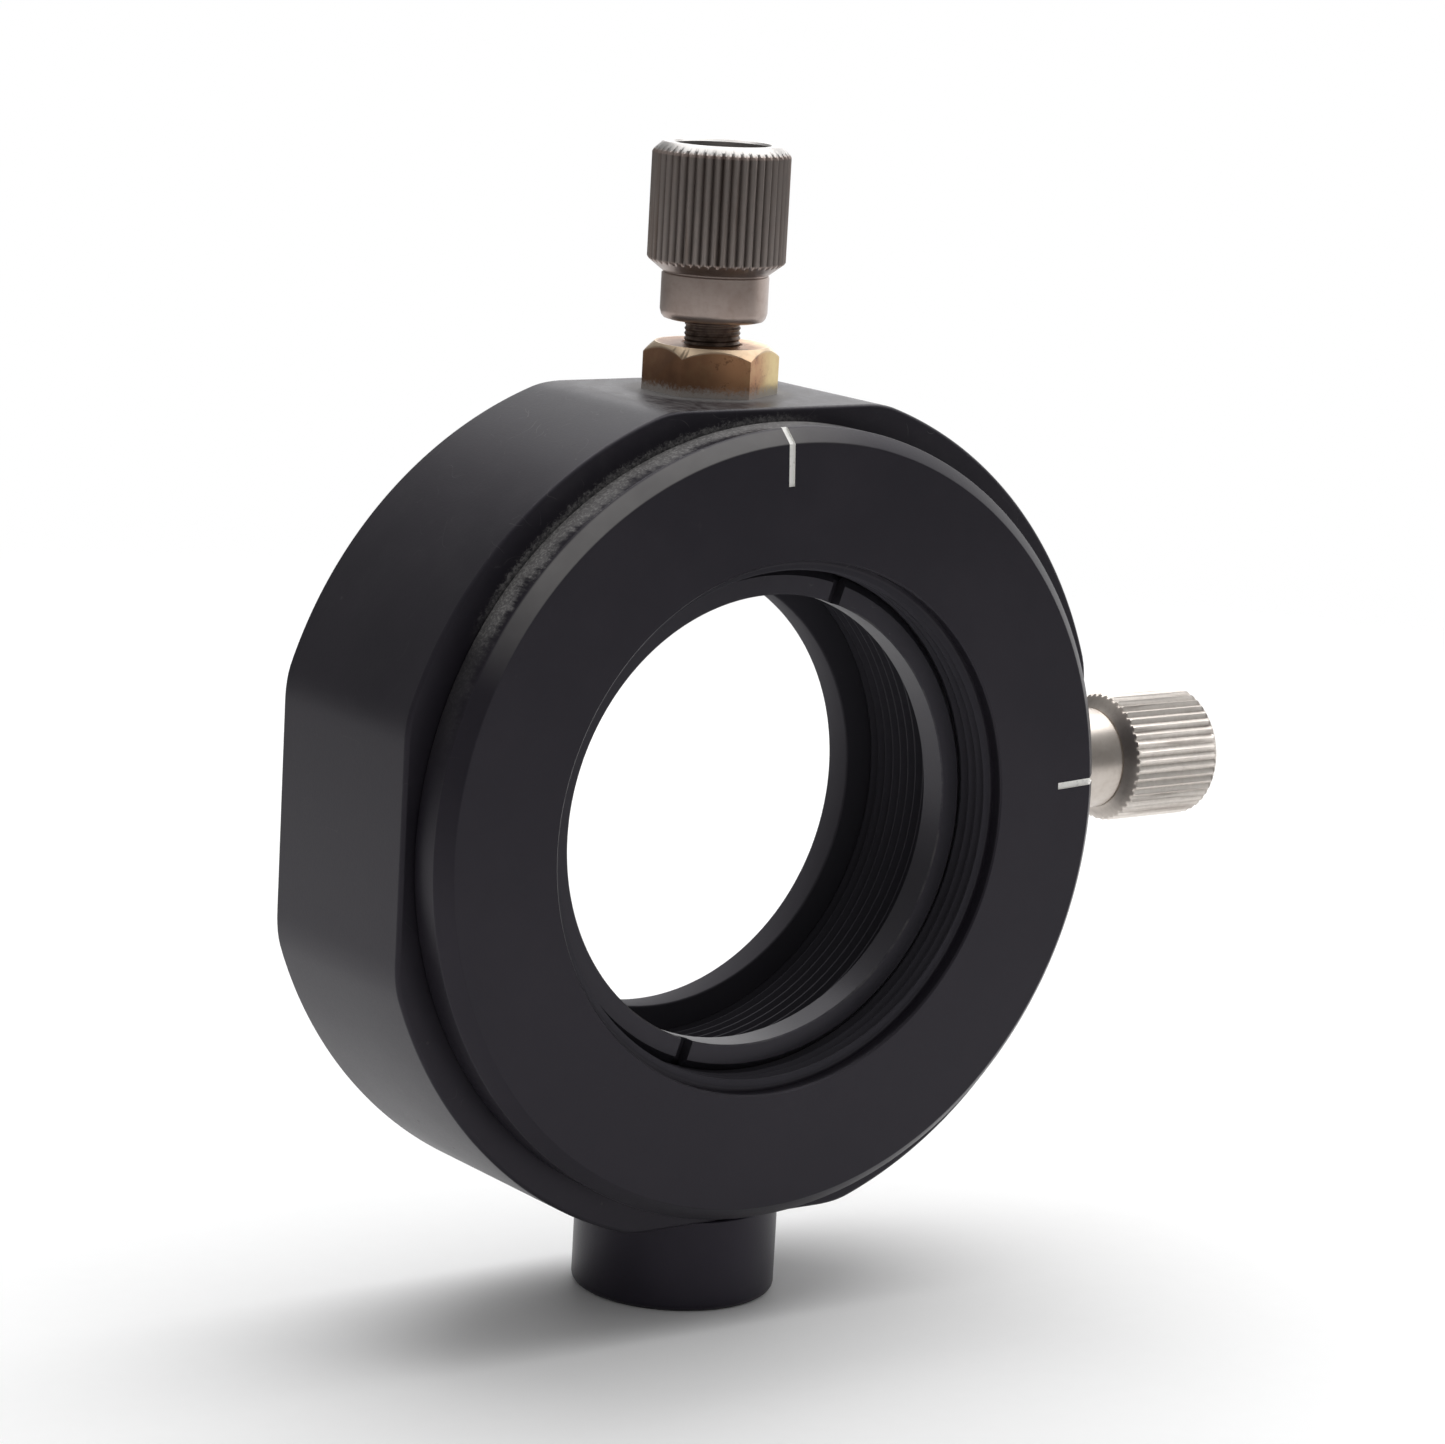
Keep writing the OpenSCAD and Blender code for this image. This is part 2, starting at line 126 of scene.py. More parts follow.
class Signal:
    """A shader socket that takes part in arithmetic."""

    def __init__(self, sheet: Sheet, socket: bpy.types.NodeSocket) -> None:
        """Keeps the socket and the node tree it belongs to."""
        self.sheet = sheet
        self.socket = socket

    def math(self, operation: str, *values: Value) -> Signal:
        """Adds one Math node.

        Args:
            operation: The node's operation.
            values: What goes in, in order; this signal isn't added by itself.

        Returns:
            The node's result.
        """
        node = self.sheet.node(
            "ShaderNodeMath", {"operation": operation}, dict(enumerate(values))
        )
        return Signal(self.sheet, node.outputs[0])

    def __add__(self, other: Value) -> Signal:
        """Gives self + other."""
        return self.math("ADD", self, other)

    __radd__ = __add__

    def __sub__(self, other: Value) -> Signal:
        """Gives self - other."""
        return self.math("SUBTRACT", self, other)

    def __rsub__(self, other: Value) -> Signal:
        """Gives other - self."""
        return self.math("SUBTRACT", other, self)

    def __mul__(self, other: Value) -> Signal:
        """Gives self * other."""
        return self.math("MULTIPLY", self, other)

    __rmul__ = __mul__

    def __truediv__(self, other: Value) -> Signal:
        """Gives self / other."""
        return self.math("DIVIDE", self, other)

    def __pow__(self, other: Value) -> Signal:
        """Gives self ** other."""
        return self.math("POWER", self, other)

    def __neg__(self) -> Signal:
        """Gives -self."""
        return self.math("MULTIPLY", self, -1.0)

    def __abs__(self) -> Signal:
        """Gives the size of self."""
        return self.math("ABSOLUTE", self)

    def root(self) -> Signal:
        """Gives the square root of self."""
        return self.math("SQRT", self)

    def most(self, other: Value) -> Signal:
        """Gives the larger of self and other."""
        return self.math("MAXIMUM", self, other)

    def least(self, other: Value) -> Signal:
        """Gives the smaller of self and other."""
        return self.math("MINIMUM", self, other)

    def ramp(self, start: float, end: float) -> Signal:
        """Eases from 0 at start to 1 at end, whichever of them is larger.

        Args:
            start: The value that gives 0.
            end: The value that gives 1.

        Returns:
            A signal from 0 to 1.
        """
        low, high, flip = (start, end, False) if start < end else (end, start, True)
        node = self.sheet.node(
            "ShaderNodeMapRange",
            {"interpolation_type": "SMOOTHSTEP", "clamp": True},
            {
                0: self,
                1: low,
                2: high,
                3: 1.0 if flip else 0.0,
                4: 0.0 if flip else 1.0,
            },
        )
        return Signal(self.sheet, node.outputs[0])

    def band(self, centre: float, width: float) -> Signal:
        """Gives 1 at centre, easing to 0 at width on either side of it."""
        return abs(self - centre).ramp(width, 0.0)


Value = Union[Signal, float, int]


class Sheet:
    """A node tree that is written as expressions."""

    def __init__(self, tree: bpy.types.NodeTree) -> None:
        """Clears a node tree and keeps it."""
        self.tree = tree
        self.tree.nodes.clear()

    def node(
        self,
        kind: str,
        settings: Mapping[str, Any] | None = None,
        sockets: Mapping[Any, Any] | None = None,
    ) -> bpy.types.Node:
        """Adds any node.

        Args:
            kind: The node's type.
            settings: The node's own settings, which are set first.
            sockets: For each input, by name or number, a value or a link.

        Returns:
            The new node.
        """
        node = self.tree.nodes.new(kind)
        for name, value in (settings or {}).items():
            setattr(node, name, value)
        for key, value in (sockets or {}).items():
            socket = node.inputs[key]
            if isinstance(value, Signal):
                value = value.socket
            if isinstance(value, bpy.types.NodeSocket):
                self.tree.links.new(value, socket)
            elif isinstance(value, tuple) and socket.type == "RGBA":
                socket.default_value = (*value, 1.0)
            else:
                socket.default_value = value
        return node

    def split(self, vector: bpy.types.NodeSocket) -> list[Signal]:
        """Gives the three parts of a vector."""
        parts = self.node("ShaderNodeSeparateXYZ", None, {0: vector})
        return [Signal(self, s) for s in parts.outputs]


class Recipe(Sheet):
    """The node tree of one material."""

    def __init__(self, name: str, axis: Axis = Axis.POST) -> None:
        """Starts an empty material.

        Args:
            name: The material's name.
            axis: The line of the mount that the pattern is turned about.
        """
        self.material = bpy.data.materials.new(name)
        self.material.use_nodes = True
        super().__init__(self.material.node_tree)
        seat = LAYOUT.seat(axis)
        place = seat.to_translation() * MM
        coordinates = self.node("ShaderNodeTexCoord")
        mapping = self.node(
            "ShaderNodeMapping",
            {"vector_type": "TEXTURE"},
            {
                0: coordinates.outputs["Object"],
                1: tuple(place),
                2: tuple(seat.to_euler()),
                3: (MM, MM, MM),
            },
        )
        self.point = mapping.outputs[0]
        self.x, self.y, self.z = self.split(self.point)
        self.radius = (self.x * self.x + self.y * self.y).root()

    def noise(
        self,
        scale: float,
        detail: float = 2.0,
        roughness: float = 0.5,
        stretch: Sequence[float] = (1, 1, 1),
        shift: Sequence[float] = (0, 0, 0),
    ) -> Signal:
        """Gives a noise value that is about 0.5 on average.

        Args:
            scale: Features for each millimetre.
            detail: Layers of finer noise.
            roughness: Strength of the finer layers.
            stretch: Extra scale along each bench axis.
            shift: Moves the pattern, in millimetres.

        Returns:
            The noise value.
        """
        place = self.node(
            "ShaderNodeVectorMath",
            {"operation": "MULTIPLY_ADD"},
            {0: self.point, 1: tuple(stretch), 2: tuple(shift)},
        )
        node = self.node(
            "ShaderNodeTexNoise",
            None,
            {
                "Vector": place.outputs[0],
                "Scale": scale,
                "Detail": detail,
                "Roughness": roughness,
            },
        )
        return Signal(self, node.outputs[0])

    def specks(self, scale: float, size: float, share: float) -> Signal:
        """Gives a mask of scattered round specks.

        Args:
            scale: Cells for each millimetre.
            size: Radius of a speck, as a share of a cell.
            share: Share of the cells that hold a speck.

        Returns:
            1 on the specks and 0 between them.
        """
        cell = self.node(
            "ShaderNodeTexVoronoi",
            {"feature": "F1"},
            {"Vector": self.point, "Scale": scale},
        )
        near = Signal(self, cell.outputs["Distance"])
        lucky, wide = self.split(cell.outputs["Color"])[:2]
        return (near / (0.4 + wide)).ramp(size, size * 0.5) * lucky.ramp(
            share, share * 0.9
        )

    def fibres(self, scale: float, width: float, share: float, seed: float) -> Signal:
        """Gives a mask of short curled hairs of lint.

        Args:
            scale: Curls for each millimetre.
            width: Width of a hair, as a share of the noise's range.
            share: How much of the surface may hold hairs.
            seed: Moves the pattern.

        Returns:
            1 on the hairs and 0 elsewhere.
        """
        course = self.noise(scale, 0.0, 0.5, shift=(seed, 0, 0))
        patch = self.noise(scale * 1.9, 0.0, 0.5, shift=(0, seed, 0))
        return course.band(0.5, width) * patch.ramp(1 - share - 0.03, 1 - share + 0.03)

    def blend(self, factor: Value, first: Any, second: Any) -> bpy.types.NodeSocket:
        """Mixes two colours.

        Args:
            factor: 0 gives the first colour and 1 the second.
            first: A colour, as a value or a link.
            second: A colour, as a value or a link.

        Returns:
            The mixed colour.
        """
        node = self.node(
            "ShaderNodeMix",
            {"data_type": "RGBA", "clamp_factor": True},
            {0: factor, 6: first, 7: second},
        )
        return node.outputs[2]

    def surface(
        self,
        colour: Any,
        roughness: Value,
        metallic: Value = 0.0,
        relief: Signal | None = None,
        relief_height: float = 0.01,
        **others: Value,
    ) -> bpy.types.Material:
        """Finishes the material.

        Args:
            colour: The base colour, as a value or a link.
            roughness: The roughness.
            metallic: The metallic share.
            relief: Height of the surface's fine relief, from 0 to 1.
            relief_height: What a height of 1 stands for, in millimetres.
            others: The shader's other sockets, with underscores for the spaces
                in their names.

        Returns:
            The material.
        """
        sockets: dict[str, Any] = {
            "Base Color": colour,
            "Roughness": roughness,
            "Metallic": metallic,
        }
        sockets.update({k.replace("_", " "): v for k, v in others.items()})
        if relief is not None:
            bump = self.node(
                "ShaderNodeBump",
                None,
                {"Strength": 1.0, "Distance": relief_height * MM, "Height": relief},
            )
            sockets["Normal"] = bump.outputs[0]
        shader = self.node("ShaderNodeBsdfPrincipled", None, sockets)
        self.node("ShaderNodeOutputMaterial", None, {0: shader.outputs[0]})
        return self.material


# ---------------------------------------------------------------- finishes


class Rim(NamedTuple):
    """The wall of a disc that lint has caught on, and whose bevel takes a painted
    highlight, by its radius and its depths.
    """

    reach: float
    front: float
    back: float


class Fringe(NamedTuple):
    """The face behind a disc of radius reach that its lint hangs onto."""

    reach: float
    depth: float
    width: float


class Feet(NamedTuple):
    """The rings of dust round the bushings, on the flats at reach."""

    reach: float
    depth: float
    width: float


class Bore(NamedTuple):
    """A bore whose inside is painted lighter as painted light, and made rougher, by its
    wall's radius and its front's depth.
    """

    wall: float
    front: float


class Knurl(NamedTuple):
    """A knob's grip, by the radii of its ridges and valleys and its two ends."""

    ridge: float
    valley: float
    low: float
    high: float


@dataclass(frozen=True)
class Anodised:
    """Satin black anodised aluminium, with a little dust and rubbed edges.

    "rubbed" lists the corners that are worn bright, as (radius, depth), and
    "sheltered" is the share of dust on a part that isn't turned about the lens.
    """

    black: Colour = (0.0107, 0.0095, 0.0135)
    faded: Colour = (0.0148, 0.013, 0.0175)
    grey: Colour = (0.038, 0.036, 0.042)
    bare: Colour = (0.12, 0.115, 0.11)
    # This colour also paints the highlight on the upper left of the disc's bevel.
    dust: Colour = (0.43, 0.42, 0.405)
    satin: float = 0.4
    dusty: float = 0.5
    sheltered: float = 0.1643
    rubbed: Profile = ()
    rim: Rim | None = None
    fringe: Fringe | None = None
    feet: Feet | None = None
    painted_light_bore: Bore | None = None
    shine: float = 0.3
    tint: Colour = (0.94, 0.88, 1.0)

    def lint_and_highlight_on_rim(self, r: Recipe, upward: Signal) -> Signal:
        """Gives the mask of the lint that has caught on a disc's rim, and of a painted
        highlight on the upper left of its bevel.

        Args:
            r: The material.
            upward: How far up the surface is, from -1 to 1.

        Returns:
            1 where the lint is thick.
        """
        reach, front, back = self.rim
        hairs = r.noise(5.0, 4.0, 0.8, stretch=(1.0, 1.0, 0.25))
        clumps = r.noise(0.5, 2.0, 0.6, shift=(9.0, 0.0, 2.0))
        dots = r.noise(7.0, 3.0, 0.7, shift=(1.0, 6.0, 2.0)).ramp(0.46, 0.62)
        pile = (hairs * 0.6 + clumps * 0.4 - 0.5) * 2.0
        depth = (back - r.z) / (back - front)
        place = (depth - pile).ramp(1.0, 0.45) * r.radius.ramp(reach - 0.06, reach)
        drift = self.drift(r, upward)
        spread = drift.ramp(0.78, 0.9).most(upward.ramp(0.1, 0.8) * 0.35)
        # Painted highlight: the upper left of the front bevel is painted pale, standing
        # in for the overhead light that it catches.
        bevel = r.radius.ramp(reach - 0.76, reach - 0.68) * r.z.ramp(front, front - 0.1)
        film = bevel * drift.ramp(0.76, 0.98) * (clumps * 0.5 + 0.75) * 0.6
        return (place * spread * (dots * 0.45 + 0.45)).most(film)

    def lint_past_rim(self, r: Recipe, upward: Signal) -> Signal:
        """Gives the mask of the lint that hangs from a disc onto its housing.

        Args:
            r: The material.
            upward: How far up the surface is, from -1 to 1.

        Returns:
            1 where the lint is thick.
        """
        reach, depth, width = self.fringe
        hairs = r.noise(4.0, 4.0, 0.8, shift=(5.0, 1.0, 0.0))
        dots = r.noise(7.0, 3.0, 0.7, shift=(2.0, 3.0, 4.0)).ramp(0.44, 0.6)
        away = (r.radius - reach) / width + (hairs - 0.5) * 2.6
        place = away.ramp(0.75, 0.2) * r.z.ramp(depth + 0.1, depth + 0.02)
        return place * self.drift(r, upward).ramp(0.82, 0.94) * (dots * 0.5 + 0.3)

    def drift(self, r: Recipe, upward: Signal) -> Signal:
        """Gives how near a point is to the upper left, where lint has gathered and
        where the bevel's painted highlight lies.
        """
        return upward * 0.9 - r.x / r.radius.most(0.1) * 0.44

    def dust_round_feet(self, r: Recipe) -> Signal:
        """Gives the mask of the dust round the feet of the two bushings.

        Args:
            r: The material.

        Returns:
            1 where the dust is thick.
        """
        reach, depth, width = self.feet
        fuzz = r.noise(4.0, 4.0, 0.75)
        grit = r.noise(3.0, 4.0, 0.75, stretch=(1.0, 1.0, 0.35))
        film = r.noise(1.1, 3.0, 0.65).ramp(0.3, 0.7) * 0.15
        film = film + grit.ramp(0.4, 0.66) * 0.36
        rings = []
        for across, outward, thin, share in (
            (r.x, -r.y, film, 1.0),
            (r.y, r.x, 0.0, 0.3),
        ):
            away = (across**2 + (r.z - depth) ** 2).root() + (fuzz - 0.5) * 1.6
            ring = away.ramp(width + 1.1, width - 0.2).most(thin)
            rings.append(ring * outward.ramp(reach - 0.1, reach - 0.02) * share)
        return rings[0].most(rings[1]) * (fuzz * 0.5 + 0.5)

    def material(self, name: str, axis: Axis = Axis.OPTIC) -> bpy.types.Material:
        """Mixes the finish.

        Args:
            name: The material's name.
            axis: The line that the part is turned about.

        Returns:
            The material.
        """
        r = Recipe(name, axis)
        cloud = r.noise(0.11, 3.0, 0.6)
        grain = r.noise(7.0, 2.0, 0.6)
        scuff = r.noise(0.5, 4.0, 0.65, shift=(3.1, 0, 7.7))
        upward = -r.y / r.radius.most(0.1)
        settled: Value = self.sheltered
        if axis is Axis.OPTIC:
            settled = upward.ramp(0.35, 1.0) * 0.85 + 0.15
            settled = settled * r.z.ramp(0.05, 0.6) + 0.08
        film = scuff.ramp(0.45, 0.75) * settled
        specks = r.specks(0.85, 0.075, 0.16).most(r.specks(1.9, 0.07, 0.07))
        lint = r.fibres(0.42, 0.004, 0.36, 11.0).most(
            r.fibres(0.7, 0.006, 0.36, 23.0) * settled
        )
        colour = r.blend(cloud.ramp(0.35, 0.7), self.black, self.faded)
        colour = r.blend(film * (0.035 * self.dusty), colour, self.dust)
        colour = r.blend(
            (specks * 0.35 + lint * 0.2) * self.dusty * settled, colour, self.dust
        )
        roughness = self.satin + (cloud - 0.5) * 0.12 + (grain - 0.5) * 0.07
        roughness = roughness + (specks + film * 0.25) * (0.3 * self.dusty)
        # Painted light: the inside of the bore is painted lighter, standing in for the
        # light that comes through the rear opening.
        if self.painted_light_bore is not None:
            wall, front = self.painted_light_bore
            inside = r.radius.ramp(wall + 0.05, wall) * r.z.ramp(front - 0.05, front)
            colour = r.blend(inside, colour, self.grey)
            roughness = roughness + inside * 0.3
        for reach, depth in self.rubbed:
            away = ((r.radius - reach) ** 2 + (r.z - depth) ** 2).root()
            worn = away.ramp(0.09, 0.02) * scuff.ramp(0.4, 0.65)
            colour = r.blend(worn * 0.4, colour, self.bare)
        relief = grain
        # The rim's mask holds its lint and the bevel's painted highlight.
        for thick, share in (
            (self.lint_and_highlight_on_rim(r, upward) if self.rim else None, 0.62),
            (self.lint_past_rim(r, upward) if self.fringe else None, 0.42),
            (self.dust_round_feet(r) if self.feet else None, 0.55),
        ):
            if thick is not None:
                colour = r.blend(thick * share, colour, self.dust)
                roughness = roughness + thick * 0.4
                relief = relief + thick * 3.0
        return r.surface(
            colour,
            roughness,
            0.0,
            relief,
            0.0035,
            Specular_IOR_Level=self.shine,
            Specular_Tint=self.tint,
        )


@dataclass(frozen=True)
class Steel:
    """Turned steel with fine lathe lines, with soot in the knurl's valleys and painted
    shade on the cone under the grip.
    """

    bright: Colour = (0.5, 0.5, 0.49)
    dull: Colour = (0.3, 0.29, 0.28)
    # Colour of the soot in the knurl's valleys and of the painted shade on the cone.
    grime_and_shade: Colour = (0.05, 0.038, 0.031)
    polish: float = 0.3
    groove: Knurl | None = None
    soot: float = 0.9
    # Strength of the painted shade on the cone under the grip.
    painted_cone_shade: float = 0.6
    grip: Colour = (0.3, 0.26, 0.24)
    rust: Colour = (0.17, 0.125, 0.1)
    edge: Colour = (0.45, 0.445, 0.435)
    stain: float = 0.5

    def material(self, name: str, axis: Axis) -> bpy.types.Material:
        """Mixes the finish.

        Args:
            name: The material's name.
            axis: The line that the part is turned about.

        Returns:
            The material.
        """
        r = Recipe(name, axis)
        cloud = r.noise(0.45, 3.0, 0.6, shift=(4.0, 1.0, 0.0))
        mottle = r.noise(3.2, 3.0, 0.6)
        lines = r.noise(1.0, 2.0, 0.7, stretch=(0.35, 0.35, 24.0))
        scratches = r.noise(1.0, 1.0, 0.6, stretch=(14.0, 14.0, 0.6))
        colour = r.blend(
            cloud.ramp(0.35, 0.72) * self.stain + mottle.ramp(0.4, 0.8) * 0.3,
            self.bright,
            self.dull,
        )
        roughness = self.polish + (lines - 0.5) * 0.08 + (mottle - 0.5) * 0.1
        if self.groove is not None:
            ridge, valley, low, high = self.groove
            knurl = r.z.ramp(low, low + 0.15) * r.z.ramp(high, high - 0.1)
            deep = r.radius.ramp(ridge, valley) * knurl
            # Painted shade: the cone between the collar and the grip is darkened to
            # stand in for the shade that falls there.
            cone = r.z.band(low - 0.25, 0.42) * (1.0 - knurl) * self.painted_cone_shade
            dirt_and_shade = (deep * self.soot).most(cone)
            dirt_and_shade = (dirt_and_shade * (mottle * 0.6 + 0.7)).least(1.0)
            rubbed = r.z.ramp(high + 0.04, high + 0.2) * (0.6 + mottle * 0.5)
            streak = r.noise(1.3, 3.0, 0.7, stretch=(1.0, 1.0, 0.07))
            colour = r.blend(knurl * (1.1 - mottle * 0.5), colour, self.grip)
            colour = r.blend(knurl * streak.ramp(0.5, 0.68) * 0.5, colour, self.rust)
            colour = r.blend(dirt_and_shade, colour, self.grime_and_shade)
            colour = r.blend(rubbed.least(1.0), colour, self.edge)
            roughness = roughness + knurl * 0.16 + deep * 0.12
        relief = lines * 0.7 + scratches * 0.3
        return r.surface(colour, roughness, 0.96, relief, 0.0015)


@dataclass(frozen=True)
class Brass:
    """Brass that has browned with age and is rubbed bright on its edges.

    "handled" is the heading, in degrees, of the side that is painted bright as
    painted light, while the far side is painted darker as painted shade; "crown"
    says where the cone at the top begins, which is worn and also painted lighter
    as a painted highlight; and "foot" is the height that lint has piled up from.
    """

    bright: Colour = (0.6, 0.47, 0.23)
    aged: Colour = (0.5, 0.265, 0.14)
    brown_and_shade: Colour = (0.1, 0.052, 0.034)
    worn: Colour = (0.62, 0.5, 0.36)
    lint: Colour = (0.43, 0.41, 0.39)
    polish: float = 0.3
    age: float = 1.0
    painted_light_heading: float | None = None
    crown: float | None = None
    foot: float | None = None

    def material(self, name: str, axis: Axis) -> bpy.types.Material:
        """Mixes the finish.

        Args:
            name: The material's name.
            axis: The line that the part is turned about.

        Returns:
            The material.
        """
        r = Recipe(name, axis)
        blotch = r.noise(0.55, 3.0, 0.6, shift=(2.0, 5.0, 0.0))
        mottle = r.noise(1.5, 3.0, 0.6)
        fine = r.noise(9.0, 2.0, 0.6)
        tone = (blotch * 0.5 + mottle * 0.5).ramp(0.3, 0.6) * self.age
        spots = (mottle * 0.7 + fine * 0.3).ramp(0.5, 0.68) * self.age
        painted_shade_side: Value = 0.0
        # Painted light and shade: the side toward the heading is painted bright and
        # loses its spots, as if lit, and the far side is painted darker, as painted
        # shade.
        if self.painted_light_heading is not None:
            way = math.radians(self.painted_light_heading)
            side = r.x * math.cos(way) + r.y * math.sin(way)
            painted_light_share = side.ramp(1.4, 3.0)
            tone = (tone * 0.35 + 0.75 - painted_light_share).most(0.0).least(1.0)
            spots = spots * (1.0 - painted_light_share * 0.95)
            painted_shade_side = side.ramp(0.5, -1.3) * (0.4 + blotch * 0.5)
        colour = r.blend(tone, self.bright, self.aged)
        colour = r.blend((spots * 0.7).most(painted_shade_side), colour, self.brown_and_shade)
        roughness = self.polish + tone * 0.14 + (fine - 0.5) * 0.08
        metallic: Value = 0.95
        # The top cone is worn bright, and is also painted lighter as a painted
        # highlight of the overhead light.
        if self.crown is not None:
            cone = (r.z + r.radius * 0.8).ramp(self.crown - 0.05, self.crown + 0.1)
            colour = r.blend(cone * (1.1 - mottle * 0.6), colour, self.worn)
        if self.foot is not None:
            hairs = r.noise(5.5, 4.0, 0.8, shift=(7.0, 3.0, 0.0))
            height = (r.z - self.foot) + (hairs - 0.5) * 1.1
            pile = height.ramp(0.62, 0.1)
            colour = r.blend(pile * 0.8, colour, self.lint)
            roughness = roughness + pile * 0.4
            metallic = 0.95 - pile * 0.85
        relief = mottle * 0.5 + fine * 0.5
        return r.surface(colour, roughness, metallic, relief, 0.004)


@dataclass(frozen=True)
class OiledThread:
    """Dark steel thread with old oil on it."""

    metal: Colour = (0.21, 0.165, 0.14)
    oil: Colour = (0.085, 0.064, 0.052)
    polish: float = 0.44

    def material(self, name: str, axis: Axis) -> bpy.types.Material:
        """Mixes the finish.

        Args:
            name: The material's name.
            axis: The line that the part is turned about.

        Returns:
            The material.
        """
        r = Recipe(name, axis)
        smear = r.noise(1.3, 3.0, 0.6)
        fine = r.noise(8.0, 2.0, 0.6)
        colour = r.blend(smear.ramp(0.35, 0.65), self.metal, self.oil)
        roughness = self.polish + (smear - 0.5) * 0.2 + (fine - 0.5) * 0.1
        return r.surface(colour, roughness, 0.85, fine, 0.003)


@dataclass(frozen=True)
class MarkingPaint:
    """Pale filler in the engraved index lines."""

    pale: Colour = (0.9, 0.89, 0.86)
    worn: Colour = (0.6, 0.59, 0.57)

    def material(self, name: str, axis: Axis = Axis.OPTIC) -> bpy.types.Material:
        """Mixes the finish.

        Args:
            name: The material's name.
            axis: The line that the part is turned about.

        Returns:
            The material.
        """
        r = Recipe(name, axis)
        fine = r.noise(5.0, 3.0, 0.6)
        colour = r.blend(fine.ramp(0.55, 0.75) * 0.6, self.pale, self.worn)
        return r.surface(colour, 0.45 + fine * 0.2, 0.2, fine, 0.006)


@dataclass(frozen=True)
class StudioPaper:
    """Matt white paper under the mount, which fades into the white room."""

    white: Colour = (0.95, 0.95, 0.95)
    shade: Colour = (0.92, 0.92, 0.92)
    solid: float = 130.0
    gone: float = 230.0

    def material(self, name: str) -> bpy.types.Material:
        """Mixes the finish.

        Args:
            name: The material's name.

        Returns:
            The material.
        """
        r = Recipe(name)
        tooth = r.noise(0.8, 2.0, 0.5)
        colour = r.blend(tooth * 0.5, self.white, self.shade)
        return r.surface(
            colour,
            0.75,
            0.0,
            Specular_IOR_Level=0.2,
            Alpha=r.radius.ramp(self.gone, self.solid),
        )


# ---------------------------------------------------------------- bench


def show(name: str, data: bpy.types.ID) -> bpy.types.Object:
    """Puts a mesh, a light or a camera into the scene.

    Args:
        name: The new object's name.
        data: The mesh, the light or the camera.

    Returns:
        The new object.
    """
    item = bpy.data.objects.new(name, data)
    bpy.context.scene.collection.objects.link(item)
    return item


def all_of(mesh: bmesh.types.BMesh) -> list[Any]:
    """Lists a mesh's vertices, edges and faces."""
    return mesh.verts[:] + mesh.edges[:] + mesh.faces[:]


def revolve(
    mesh: bmesh.types.BMesh,
    profile: Profile,
    closed: bool,
    steps: int,
    rise: float = 0.0,
) -> None:
    """Spins a profile through one full turn about Z.

    Args:
        mesh: The mesh that the surface is added to.
        profile: The profile's corners, as (radius, height).
        closed: Whether the profile's last corner joins its first.
        steps: Facets in the turn.
        rise: How far it climbs in the turn; without a rise, its ends are joined.
    """
    corners = [mesh.verts.new((r, 0.0, h)) for r, h in profile]
    pairs = list(zip(corners, corners[1:]))
    if closed:
        pairs.append((corners[-1], corners[0]))
    edges = [mesh.edges.new(pair) for pair in pairs]
    bmesh.ops.spin(
        mesh,
        geom=corners + edges,
        cent=(0, 0, 0),
        axis=(0, 0, 1),
        dvec=(0, 0, rise / steps),
        angle=math.tau,
        steps=steps,
        use_merge=not rise,
    )


def saw(mesh: bmesh.types.BMesh, place: Vector, facing: Vector) -> None:
    """Cuts off what lies beyond a plane.

    Args:
        mesh: The mesh.
        place: A point on the plane.
        facing: The way the plane faces, which is the side that goes.
    """
    bmesh.ops.bisect_plane(
        mesh,
        geom=all_of(mesh),
        dist=WELD,
        plane_co=place,
        plane_no=facing,
        clear_outer=True,
    )


def ease(
    mesh: bmesh.types.BMesh,
    edges: Sequence[bmesh.types.BMEdge],
    width: float,
    segments: int,
) -> None:
    """Rounds edges of a mesh.

    Args:
        mesh: The mesh.
        edges: The edges.
        width: Width of the rounding on each side of an edge.
        segments: Straight pieces in each rounding.
    """
    bmesh.ops.bevel(
        mesh,
        geom=edges,
        offset=width,
        offset_type="OFFSET",
        segments=segments,
        profile=0.5,
        affect="EDGES",
        material=-1,
        clamp_overlap=True,
    )


@dataclass(frozen=True)
class Thread:
    """A right-handed V thread."""

    pitch: float
    root: float
    crest: float
    root_flat: float = 0.14
    crest_flat: float = 0.14

    def tooth(self) -> list[tuple[float, float]]:
        """Works out the outline of one pitch of the thread.

        Returns:
            Its corners, as (radius, height) with heights from 0 to the pitch.
        """
        low = self.pitch * self.root_flat / 2
        half = self.pitch * self.crest_flat / 2
        middle = self.pitch / 2
        return [
            (self.root, 0.0),
            (self.root, low),
            (self.crest, middle - half),
            (self.crest, middle + half),
            (self.root, self.pitch - low),
            (self.root, self.pitch),
        ]


def rounded(
    points: Sequence[tuple[float, ...]], segments: int = 3
) -> list[tuple[float, float]]:
    """Rounds corners of a closed profile.

    Args:
        points: The profile's corners, as (radius, height), with the radius of the
            rounding after them where a corner is rounded.
        segments: Straight pieces in each rounding.

    Returns:
        The profile with each of those corners replaced by an arc.
    """
    out: list[tuple[float, float]] = []
    for i, point in enumerate(points):
        if len(point) == 2:
            out.append(point)
            continue
        here, radius = Vector(point[:2]), point[2]
        back = (Vector(points[i - 1][:2]) - here).normalized()
        ahead = (Vector(points[(i + 1) % len(points)][:2]) - here).normalized()
        half = math.acos(max(-1.0, min(1.0, back.dot(ahead)))) / 2
        centre = here + (back + ahead).normalized() * radius / math.sin(half)
        first = here + back * radius / math.tan(half) - centre
        last = here + ahead * radius / math.tan(half) - centre
        for k in range(segments + 1):
            arm = first.slerp(last, k / segments).normalized() * radius
            out.append(tuple(centre + arm))
    return out


